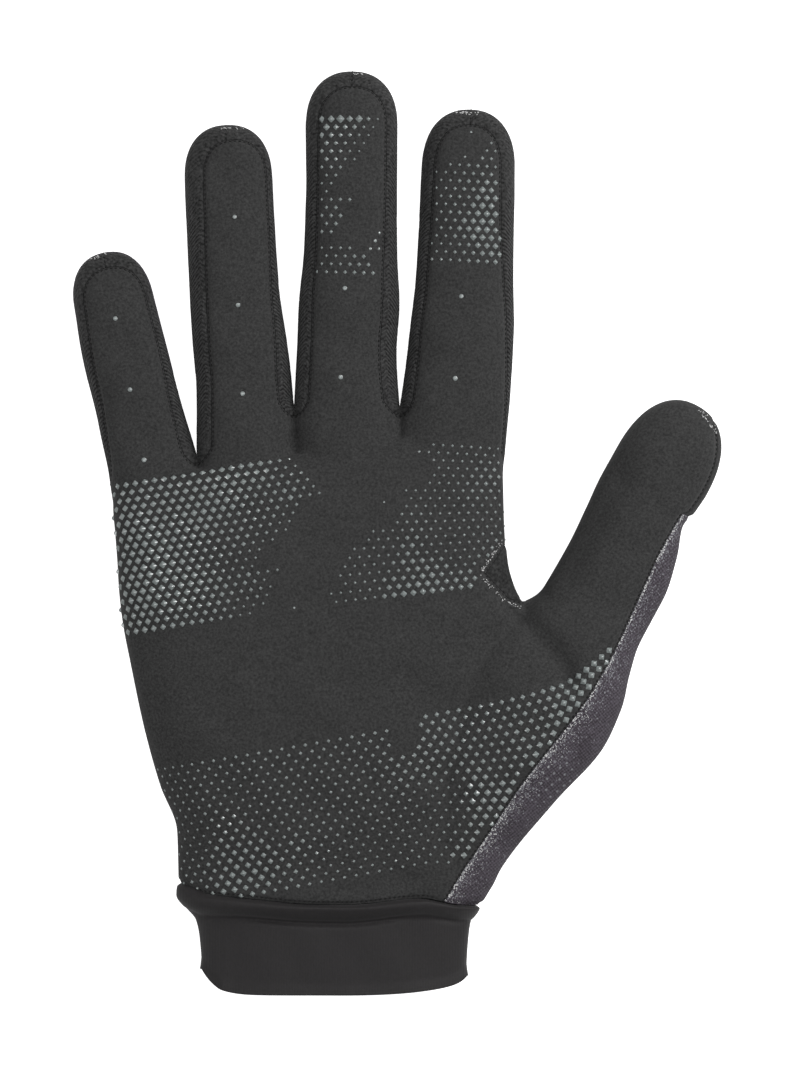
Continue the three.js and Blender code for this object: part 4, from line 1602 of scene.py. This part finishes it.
            (10, 72, 0.75), (14.5, 71.5, 0.7), (23, 71, 0.9), (26.5, 71, 1.1),
        ),
    ),
)


@dataclass
class Grip:
    """The raised silicone dots: fields of small pyramids, and single round ones."""

    skin: Skin
    panel: Points
    side: float = 1.0
    height: float = 0.4
    seam_margin: float = 0.55
    button_height: float = 0.3
    crown: float = 0.2
    bevel: float = 0.1
    seat: float = 0.42
    singles: tuple = (
        (-74.1, 56.3, 1.2), (-70.2, 37.6, 1.2), (-66.5, 19.1, 1.3), (-42.7, 83, 1.1), (-41.8, 59.8, 1.2),
        (-40.6, 36.5, 1.2), (-13.7, 64.2, 1.2), (-14.8, 40.8, 1.2), (16.9, 62.1, 1.2), (15.3, 40.5, 1.3),
        (-26.9, -19.7, 0.6), (-3.4, 8, 0.55), (19.5, 105.4, 0.6), (17.9, 98.8, 0.6), (-4.6, 78.8, 0.7),
        (-5.7, 76.7, 0.9), (-7, 74.6, 0.8), (-4.7, 74.6, 0.7),
    )

    def build(self) -> list[bpy.types.Object]:
        """Lays all the dots on the surface.

        Returns:
            One object for each field, and one for the single dots.
        """
        made = []
        for block in GRIP_BLOCKS:
            plan, size, way = block.dots()
            keep = inside(plan, grown(self.panel, -self.seam_margin))
            plan, size, way = plan[keep], size[keep], way[keep]
            found, places, normals = self.skin.land(plan)
            scales = size[found][:, None] * np.array([self.side, self.side, self.height])
            turned = (way[found] + np.column_stack([-way[found][:, 1], way[found][:, 0]])) / math.sqrt(2)
            frames = frames_on(normals, turned)
            made.append(stamped(self._pyramid(), f"grip_dots_{block.name}", places, frames, scales))
            log.info("grip dots, %s: %d", block.name, len(places))
        singles = np.array(self.singles)
        found, places, normals = self.skin.land(singles[:, :2])
        scales = singles[found, 2][:, None] * np.array([1, 1, self.button_height])
        ways = np.tile([1.0, 0.0], (len(places), 1))
        made.append(stamped(self._button(), "grip_dots_single", places, frames_on(normals, ways), scales))
        return made

    def _pyramid(self) -> bpy.types.Object:
        """A four-sided dot with bevelled shoulders, one millimetre wide.

        Returns:
            The dot.
        """
        bpy.ops.mesh.primitive_cone_add(
            vertices=4, radius1=1 / math.sqrt(2), radius2=self.crown, depth=1.0, rotation=(0, 0, math.pi / 4)
        )
        dot = added("dot")
        bpy.ops.object.transform_apply(location=False, rotation=True, scale=False)
        bpy.ops.object.mode_set(mode="EDIT")
        bpy.ops.mesh.select_all(action="SELECT")
        bpy.ops.mesh.bevel(offset=self.bevel, segments=1)
        bpy.ops.object.mode_set(mode="OBJECT")
        put_points(dot, points_of(dot) * MM + np.array([0, 0, self.seat]))
        return dot

    @staticmethod
    def _button() -> bpy.types.Object:
        """A low round dot, one millimetre wide.

        Returns:
            The dot.
        """
        bpy.ops.mesh.primitive_uv_sphere_add(segments=12, ring_count=8, radius=0.5)
        dot = added("button")
        put_points(dot, points_of(dot) * MM)
        return dot


@dataclass
class Stitching:
    """The sewing thread: rows of stitches beside the seams."""

    skin: Skin
    seams: SeamPlan
    pitch: float = 1.25
    length: float = 0.8
    thick: float = 0.52
    flatness: float = 0.8
    start: float = 0.4
    off_finger: float = 0.4
    off_thumb: float = 0.35
    off_thumb_tip: float = 0.3
    off_wrist: float = 0.75
    wrist_margin: float = 0.5

    def build(self) -> list[bpy.types.Object]:
        """Sews the finger seams, the thumb seam, the gusset and the fingertips.

        Returns:
            One object for each kind of row.
        """
        fingers = self.seams.finger_seams()
        thumb = self.seams.thumb()[7:]
        corners = self.seams.gusset_corners()
        wrist = np.linspace(-52, 10, 60)
        rows = {
            "fingers": [self._beside(fingers, self.off_finger)],
            "thumb": [
                self._beside(thumb[24:], self.off_thumb),
                self._beside(thumb[:24], self.off_thumb_tip),
            ],
            "gusset": [self._beside(corners, self.off_finger)],
            "tips": self.seams.tip_seams(),
            "wrist": [np.column_stack([wrist, wrist_seam(wrist) + self.off_wrist])],
        }
        made = []
        for name, lines in rows.items():
            spots = [spaced(line, self.pitch, self.start) for line in lines]
            plan = np.concatenate([place for place, _ in spots])
            way = np.concatenate([direction for _, direction in spots])
            above = plan[:, 1] > wrist_seam(plan[:, 0]) + self.wrist_margin
            plan, way = plan[above], way[above]
            found, places, normals = self.skin.land(plan)
            scale = np.tile([self.length, self.thick, self.thick * self.flatness], (len(places), 1))
            frames = frames_on(normals, way[found])
            made.append(stamped(self._stitch(), f"stitches_{name}", places, frames, scale))
            log.info("stitches, %s: %d", name, len(places))
        return made

    @staticmethod
    def _beside(line: Points, distance: float) -> Points:
        """A polyline moved to its right by a distance.

        Args:
            line: the polyline's points.
            distance: how far it is moved.

        Returns:
            The moved points.
        """
        run = np.gradient(line, axis=0)
        run = run / np.maximum(np.linalg.norm(run, axis=1), 1e-9)[:, None]
        return line + distance * np.column_stack([run[:, 1], -run[:, 0]])

    @staticmethod
    def _stitch() -> bpy.types.Object:
        """One stitch, a millimetre long, wide and thick.

        Returns:
            The stitch.
        """
        lying = (0, math.pi / 2, 0)
        bpy.ops.mesh.primitive_uv_sphere_add(segments=6, ring_count=5, radius=0.5, rotation=lying)
        stitch = added("stitch")
        bpy.ops.object.transform_apply(location=False, rotation=True, scale=False)
        put_points(stitch, points_of(stitch) * MM)
        return stitch


@dataclass
class Flecks:
    """The pale yarn ends that the printed knit shows where it is cut and sewn.

    tips holds each digit's line as shares of its length and distances across, with a reach and a count.
    """

    skin: Skin
    seams: SeamPlan
    seed: int = 11
    lift: float = 0.06
    fading: float = 0.35
    wrist_margin: float = 0.4
    tips: tuple = (
        ((0.985, 0.997), (-9.0, -1.0), 0.8, 26),
        ((0.992, 0.992), (-4.0, 3.0), 0.6, 18),
        ((0.994, 0.994), (0.0, 3.0), 0.5, 9),
        ((0.992, 0.992), (-3.5, 2.5), 0.9, 26),
        ((0.97, 0.985, 0.99), (9.0, 5.0, 2.0), 1.4, 30),
    )

    def build(self) -> bpy.types.Object:
        """Scatters the flecks along the knit's edges.

        Returns:
            The flecks as one object.
        """
        dice = np.random.default_rng(self.seed)
        thumb = self.seams.thumb()
        corners = self.seams.gusset_corners()
        bands = [
            (thumb[31:], -0.15, -0.85, 520),
            (thumb[60:], -0.6, -4.5, 420),
            (corners[:3], 0.9, 1.9, 80),
            (corners[2:4], 0.9, 1.8, 16),
        ]
        for digit, (at, across, reach, count) in zip((*FINGERS, THUMB), self.tips):
            bands.append((digit.on(at, across), 0, reach, count))
        plans, sizes = [], []
        for line, near, far, count in bands:
            place, way = spaced(line, 0.05)
            pick = dice.integers(0, len(place), count)
            off = near + (far - near) * dice.beta(1, 1.7, count)
            side = np.column_stack([way[pick][:, 1], -way[pick][:, 0]])
            plans.append(place[pick] + off[:, None] * side)
            sizes.append(dice.uniform(0.2, 0.5, count) / (1 + self.fading * np.abs(off)))
        plan, size = np.concatenate(plans), np.concatenate(sizes)
        above = plan[:, 1] > wrist_seam(plan[:, 0]) + self.wrist_margin
        plan, size = plan[above], size[above]
        found, places, normals = self.skin.land(plan)
        turn = dice.uniform(0, 2 * math.pi, len(places))
        ways = np.column_stack([np.cos(turn), np.sin(turn)])
        scales = size[found][:, None] * np.column_stack(
            [dice.uniform(0.8, 1.7, len(places)), np.ones(len(places)), np.full(len(places), 0.7)]
        )
        bpy.ops.mesh.primitive_ico_sphere_add(subdivisions=1, radius=0.5)
        bit = added("fleck")
        put_points(bit, points_of(bit) * MM)
        log.info("flecks: %d", len(places))
        return stamped(bit, "seam_flecks", places + self.lift * normals, frames_on(normals, ways), scales)


class Graph:
    """A node tree that is put together one node at a time."""

    def __init__(self, tree: bpy.types.NodeTree) -> None:
        """Keeps the tree."""
        self.tree = tree

    def add(self, kind: str, inputs: dict | None = None, **settings: object) -> bpy.types.Node:
        """Adds a node.

        Args:
            kind: the node's type, without ShaderNode.
            inputs: values or other nodes' sockets, by the input's name or number.
            settings: the node's own settings.

        Returns:
            The node.
        """
        prefix = "" if kind.startswith("Node") else "ShaderNode"
        node = self.tree.nodes.new(prefix + kind)
        node.location.x = 190 * len(self.tree.nodes)
        for name, value in settings.items():
            setattr(node, name, value)
        for name, value in (inputs or {}).items():
            if isinstance(value, bpy.types.NodeSocket):
                self.tree.links.new(value, node.inputs[name])
            else:
                node.inputs[name].default_value = value
        return node

    def math(self, operation: str, *values: object, clamp: bool = False) -> bpy.types.NodeSocket:
        """Adds a maths node and gives its result."""
        return self.add("Math", dict(enumerate(values)), operation=operation, use_clamp=clamp).outputs[0]

    def off_mean(self, noise: bpy.types.NodeSocket, strength: object) -> bpy.types.NodeSocket:
        """How far a noise is from its mean, times a strength."""
        return self.math("MULTIPLY", self.math("SUBTRACT", noise, 0.5), strength)

    def wave(self, turns: bpy.types.NodeSocket) -> bpy.types.NodeSocket:
        """A sine wave of so many whole turns."""
        return self.math("SINE", self.math("MULTIPLY", turns, 2 * math.pi))

    def noise(
        self, point: bpy.types.NodeSocket, scale: float, detail: float, roughness: float = 0.5
    ) -> bpy.types.NodeSocket:
        """A noise from 0 to 1.

        Args:
            point: where it is read.
            scale: how fine it is.
            detail: its layers.
            roughness: how strong the fine layers are.

        Returns:
            The noise.
        """
        inputs = {"Vector": point, "Scale": scale, "Detail": detail, "Roughness": roughness}
        return self.add("TexNoise", inputs).outputs[0]

    def attribute(self, name: str) -> bpy.types.NodeSocket:
        """A number that the mesh holds for each vertex."""
        return self.add("Attribute", attribute_name=name).outputs["Fac"]

    def put_out(
        self,
        colour: bpy.types.NodeSocket,
        height: bpy.types.NodeSocket,
        out: bpy.types.Node,
        shade: bpy.types.NodeSocket | None = None,
    ) -> bpy.types.NodeTree:
        """Puts a colour and a height out of a group.

        Args:
            colour: the colour.
            height: the height.
            out: the group's output node.
            shade: a factor for the colour.

        Returns:
            The group.
        """
        if shade is not None:
            colour = self.add("VectorMath", {0: colour, 3: shade}, operation="SCALE").outputs[0]
        self.tree.links.new(colour, out.inputs["Colour"])
        self.tree.links.new(height, out.inputs["Height"])
        return self.tree

    def object_point(self) -> bpy.types.NodeSocket:
        """The point's place on the object."""
        return self.add("TexCoord").outputs["Object"]


def group(name: str, inputs: dict[str, tuple[str, object]]) -> tuple[Graph, bpy.types.Node, bpy.types.Node]:
    """Starts a node group that puts out a colour and a height.

    Args:
        name: the group's name.
        inputs: each input's socket type and default, by name.

    Returns:
        The group's graph, its input node and its output node.
    """
    tree = bpy.data.node_groups.new(name, "ShaderNodeTree")
    for label, (kind, value) in inputs.items():
        socket = tree.interface.new_socket(label, in_out="INPUT", socket_type=f"NodeSocket{kind}")
        socket.default_value = value
    tree.interface.new_socket("Colour", in_out="OUTPUT", socket_type="NodeSocketColor")
    tree.interface.new_socket("Height", in_out="OUTPUT", socket_type="NodeSocketFloat")
    graph = Graph(tree)
    return graph, graph.add("NodeGroupInput"), graph.add("NodeGroupOutput")


def grey(value: int, red: int = 0, blue: int = 0) -> tuple[float, float, float, float]:
    """A screen grey, perhaps tinted, as linear light."""
    return (*(((v / 255 + 0.055) / 1.055) ** 2.4 for v in (value + red, value, value + blue)), 1.0)


def nap_group() -> bpy.types.NodeTree:
    """A suede's fine mottled nap.

    Returns:
        The group.
    """
    graph, into, out = group(
        "Napped suede",
        {"Colour": ("Color", grey(57)), "Grain": ("Float", 0.5), "Mottle": ("Float", 0.25)},
    )
    point = graph.object_point()
    fine = graph.noise(point, 1500.0, 3.0, 0.65)
    grain = graph.off_mean(fine, into.outputs["Grain"])
    mottle = graph.off_mean(graph.noise(point, 330.0, 3.0, 0.6), into.outputs["Mottle"])
    shade = graph.math("ADD", graph.math("ADD", grain, mottle), 1.0)
    return graph.put_out(into.outputs["Colour"], fine, out, shade)


def twill_group() -> bpy.types.NodeTree:
    """A knit with diagonal ribs, which follow the seam that they are sewn to.

    Returns:
        The group.
    """
    graph, into, out = group(
        "Ribbed twill",
        {"Colour": ("Color", grey(50)), "Pitch": ("Float", 1.1), "Contrast": ("Float", 0.5)},
    )
    point = graph.object_point()
    wobble = graph.noise(point, 1300.0, 3.0)
    turns = graph.math("DIVIDE", graph.attribute("rise"), into.outputs["Pitch"])
    wave = graph.wave(graph.math("ADD", turns, graph.math("MULTIPLY", wobble, 0.5)))
    shown = graph.math("MULTIPLY", graph.attribute("ribbed"), into.outputs["Contrast"])
    rib = graph.math("MULTIPLY", wave, shown)
    yarn = graph.off_mean(wobble, 3.4)
    shade = graph.math("MAXIMUM", graph.math("ADD", graph.math("ADD", rib, yarn), 1.0), 0.15)
    height = graph.math("ADD", graph.math("MULTIPLY", rib, 2.0), yarn)
    return graph.put_out(into.outputs["Colour"], height, out, shade)


def knit_group() -> bpy.types.NodeTree:
    """A printed knit: fine stitches in two shades, pale salt by the seam and a halftone in one region.

    Returns:
        The group.
    """
    graph, into, out = group(
        "Printed knit",
        {
            "Dark": ("Color", grey(44, 5, 5)),
            "Light": ("Color", grey(80, 5, 8)),
            "Print": ("Color", grey(150, -2, 4)),
            "Stitch": ("Float", 0.7 * MM),
            "Dot pitch": ("Float", 2.2 * MM),
            "Print centre": ("Vector", (0.0345, -0.0585, 0.012)),
            "Print reach": ("Float", 0.016),
            "Salt": ("Float", 0.5),
            "Salt reach": ("Float", 1.7),
        },
    )
    point = graph.object_point()
    slant = {"Vector": point, "Angle": math.radians(52)}
    turned = graph.add("VectorRotate", slant, rotation_type="Z_AXIS").outputs[0]
    noise = graph.noise(point, 1500.0, 3.0, 0.7)
    axes = graph.add("SeparateXYZ", {0: turned})
    rows = [graph.wave(graph.math("DIVIDE", axes.outputs[axis], into.outputs["Stitch"])) for axis in (0, 1)]
    stitch = graph.math("MULTIPLY", graph.math("ADD", *rows), 0.22)
    speckle = graph.off_mean(noise, 2.8)
    mottle = graph.off_mean(graph.noise(point, 160.0, 2.0), 0.7)
    level = graph.math("ADD", graph.math("ADD", stitch, speckle), graph.math("ADD", mottle, 0.42), clamp=True)
    shades = {0: level, 6: into.outputs["Dark"], 7: into.outputs["Light"]}
    base = graph.add("Mix", shades, data_type="RGBA").outputs[2]
    scale = graph.math("DIVIDE", 1.0, into.outputs["Dot pitch"])
    cells = {"Vector": turned, "Scale": scale, "Randomness": 0.15}
    lattice = graph.add("TexVoronoi", cells, voronoi_dimensions="2D").outputs["Distance"]
    ends = {0: point, 1: into.outputs["Print centre"]}
    away = graph.add("VectorMath", ends, operation="DISTANCE").outputs["Value"]
    region = graph.math("SUBTRACT", 1.0, graph.math("DIVIDE", away, into.outputs["Print reach"]), clamp=True)
    dot = graph.math("LESS_THAN", lattice, graph.math("MULTIPLY", graph.math("POWER", region, 0.5), 0.36))
    reaches = graph.math("DIVIDE", graph.attribute("from_seam"), into.outputs["Salt reach"])
    near = graph.math("EXPONENT", graph.math("MULTIPLY", reaches, -1.0))
    cell = graph.add("VectorMath", {0: point, 1: (0.3 * MM,) * 3}, operation="SNAP").outputs[0]
    grain = graph.add("TexWhiteNoise", {"Vector": cell})
    salt = graph.math("LESS_THAN", grain.outputs["Value"], graph.math("MULTIPLY", near, into.outputs["Salt"]))
    pale = graph.math("MAXIMUM", graph.math("MULTIPLY", dot, noise), graph.math("MULTIPLY", salt, noise))
    colour = graph.add("Mix", {0: pale, 6: base, 7: into.outputs["Print"]}, data_type="RGBA").outputs[2]
    return graph.put_out(colour, graph.math("ADD", stitch, noise), out)


def jersey_group() -> bpy.types.NodeTree:
    """A smooth jersey with fine upright wales.

    Returns:
        The group.
    """
    graph, into, out = group("Fine jersey", {"Colour": ("Color", grey(56)), "Wale": ("Float", 0.42 * MM)})
    point = graph.object_point()
    noise = graph.noise(point, 1400.0, 2.0)
    rows = graph.math("DIVIDE", graph.add("SeparateXYZ", {0: point}).outputs[0], into.outputs["Wale"])
    wale = graph.wave(graph.math("ADD", rows, graph.math("MULTIPLY", noise, 0.4)))
    grain = graph.math("ADD", graph.math("MULTIPLY", noise, 0.5), 0.75)
    shade = graph.math("ADD", graph.math("MULTIPLY", wale, 0.025), grain)
    return graph.put_out(into.outputs["Colour"], graph.math("ADD", wale, noise), out, shade)


@dataclass(frozen=True)
class Cloth:
    """A cloth finish: a node group for its colour and height, and the gloss of its surface."""

    name: str
    tree: bpy.types.NodeTree
    roughness: float = 0.9
    sheen: float = 0.1
    relief: float = 0.5
    depth: float = 0.15 * MM
    values: dict = field(default_factory=dict)

    def material(self) -> bpy.types.Material:
        """Makes the material.

        Returns:
            The material.
        """
        made = bpy.data.materials.new(self.name)
        made.use_nodes = True
        made.node_tree.nodes.clear()
        graph = Graph(made.node_tree)
        weave = graph.add("Group", node_tree=self.tree)
        for name, value in self.values.items():
            weave.inputs[name].default_value = value
        height = weave.outputs["Height"]
        bump = graph.add("Bump", {"Height": height, "Strength": self.relief, "Distance": self.depth})
        surface = graph.add(
            "BsdfPrincipled",
            {
                "Base Color": weave.outputs["Colour"],
                "Normal": bump.outputs[0],
                "Roughness": self.roughness,
                "Specular IOR Level": 0.25,
                "Sheen Weight": self.sheen,
                "Sheen Roughness": 0.5,
            },
        )
        graph.add("OutputMaterial", {"Surface": surface.outputs[0]})
        return made


@dataclass(frozen=True)
class Plain:
    """A finish of one colour."""

    name: str
    colour: tuple[float, float, float, float]
    roughness: float
    coat: float = 0.0
    glow: float = 0.0

    def material(self) -> bpy.types.Material:
        """Makes the material.

        Returns:
            The material.
        """
        made = bpy.data.materials.new(self.name)
        made.use_nodes = True
        surface = made.node_tree.nodes["Principled BSDF"]
        surface.inputs["Base Color"].default_value = self.colour
        surface.inputs["Roughness"].default_value = self.roughness
        surface.inputs["Coat Weight"].default_value = self.coat
        surface.inputs["Emission Color"].default_value = WHITE
        surface.inputs["Emission Strength"].default_value = self.glow
        return made


class Wardrobe:
    """All the glove's finishes, each made once."""

    def __init__(self) -> None:
        """Makes the finishes."""
        twill = twill_group()
        suede = {"Colour": grey(49), "Grain": 2.4, "Mottle": 0.25}
        side = {"Colour": grey(47), "Contrast": 0.65}
        web = {"Colour": grey(42), "Contrast": 0.0}
        jersey = {"Colour": grey(31, 2, 1)}
        finishes = {
            Finish.SUEDE: Cloth("suede_palm", nap_group(), sheen=0.05, values=suede),
            Finish.SIDE_KNIT: Cloth("side_knit", twill, sheen=0.05, relief=0.7, values=side),
            Finish.BACK_KNIT: Cloth("back_knit", knit_group(), sheen=0.03),
            Finish.JERSEY: Cloth("cuff_jersey", jersey_group(), 0.6, relief=0.2, values=jersey),
            Finish.SILICONE: Plain("grip_silicone", grey(130, -7, -1), 0.32, coat=0.9),
            Finish.THREAD: Plain("seam_thread", grey(4), 0.9),
            Finish.FLECK: Plain("fleck_yarn", grey(190), 0.8),
        }
        self.finishes = {finish: made.material() for finish, made in finishes.items()}
        self.plain_web = Cloth("gusset_knit", twill, sheen=0.03, relief=0.3, values=web).material()

    def dress(self, obj: bpy.types.Object, finish: Finish) -> None:
        """Gives an object its finish and lets it ride on the glove.

        Args:
            obj: the object.
            finish: its finish.
        """
        material = self.plain_web if "gusset" in obj.name else self.finishes[finish]
        obj.data.materials.clear()
        obj.data.materials.append(material)
        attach(obj, "root")


@dataclass
class Studio:
    """A white table under soft light, and a camera straight above it."""

    view_height: float = 281.3
    level: float = 10.0
    distance: float = 2000.0
    aim: tuple[float, float] = (0.79, -0.26)
    daylight: float = 0.3
    lamps: tuple = (
        ("softbox_above", (0.0, 0.25, 1.6), 1.0, 9.0),
        ("softbox_right", (0.9, 0.5, 0.7), 0.6, 11.5),
        ("softbox_left", (-1.3, -0.5, 0.5), 0.5, 4.2),
    )

    def build(self) -> None:
        """Sets up the floor, the lights, the world and the camera."""
        bpy.ops.mesh.primitive_plane_add(size=6, location=(0, 0, -0.0004))
        floor = added("table")
        bpy.ops.object.mode_set(mode="EDIT")
        bpy.ops.mesh.subdivide(number_cuts=4)
        bpy.ops.object.mode_set(mode="OBJECT")
        floor.data.materials.append(self._table_top())
        for name, place, size, power in self.lamps:
            bpy.ops.object.light_add(type="AREA", location=place)
            lamp = bpy.context.active_object
            lamp.name = name
            lamp.data.shape = "SQUARE"
            lamp.data.size = size
            lamp.data.energy = power
            lamp.rotation_euler = Vector(place).to_track_quat("Z", "Y").to_euler()
        world = bpy.data.worlds.new("studio")
        world.use_nodes = True
        world.node_tree.nodes["Background"].inputs["Color"].default_value = WHITE
        world.node_tree.nodes["Background"].inputs["Strength"].default_value = self.daylight
        scene = bpy.context.scene
        scene.world = world
        scene.view_settings.view_transform = "Standard"
        lens = bpy.data.cameras.new("camera")
        lens.sensor_width = 36
        lens.lens = 36 * self.distance / self.view_height
        lens.clip_start, lens.clip_end = 0.1, 20
        camera = bpy.data.objects.new("camera", lens)
        camera.location = (self.aim[0] * MM, self.aim[1] * MM, (self.level + self.distance) * MM)
        scene.collection.objects.link(camera)
        scene.camera = camera

    @staticmethod
    def _table_top() -> bpy.types.Material:
        """A white table top that looks white and lights the glove only a little.

        Returns:
            The material.
        """
        made = bpy.data.materials.new("white_table")
        made.use_nodes = True
        graph = Graph(made.node_tree)
        surface = made.node_tree.nodes["Principled BSDF"]
        surface.inputs["Base Color"].default_value = (0.75, 0.75, 0.75, 1)
        surface.inputs["Roughness"].default_value = 0.9
        surface.inputs["Emission Color"].default_value = WHITE
        seen = graph.add("LightPath").outputs["Is Camera Ray"]
        graph.tree.links.new(seen, surface.inputs["Emission Strength"])
        return made


FINISH_OF = {
    "palm_panel": Finish.SUEDE,
    "thumb_tip_patch": Finish.SUEDE,
    "back_panel": Finish.BACK_KNIT,
}


def main() -> None:
    """Builds the glove and its studio."""
    logging.basicConfig(level=logging.INFO, format="%(message)s")
    bpy.ops.object.select_all(action="DESELECT")
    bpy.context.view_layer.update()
    seams = SeamPlan()
    panels, skin = Panels(seams, Form(seams)).build()
    wardrobe = Wardrobe()
    for name, panel in panels.items():
        wardrobe.dress(panel, FINISH_OF.get(name, Finish.SIDE_KNIT))
        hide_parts(name)
    cuff = Cuff().build()
    wardrobe.dress(cuff, Finish.JERSEY)
    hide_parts("cuff")
    for dots in Grip(skin, seams.palm()).build():
        wardrobe.dress(dots, Finish.SILICONE)
    for stitches in Stitching(skin, seams).build():
        wardrobe.dress(stitches, Finish.THREAD)
    wardrobe.dress(Flecks(skin, seams).build(), Finish.FLECK)
    Studio().build()


if __name__ == "__main__":
    main()
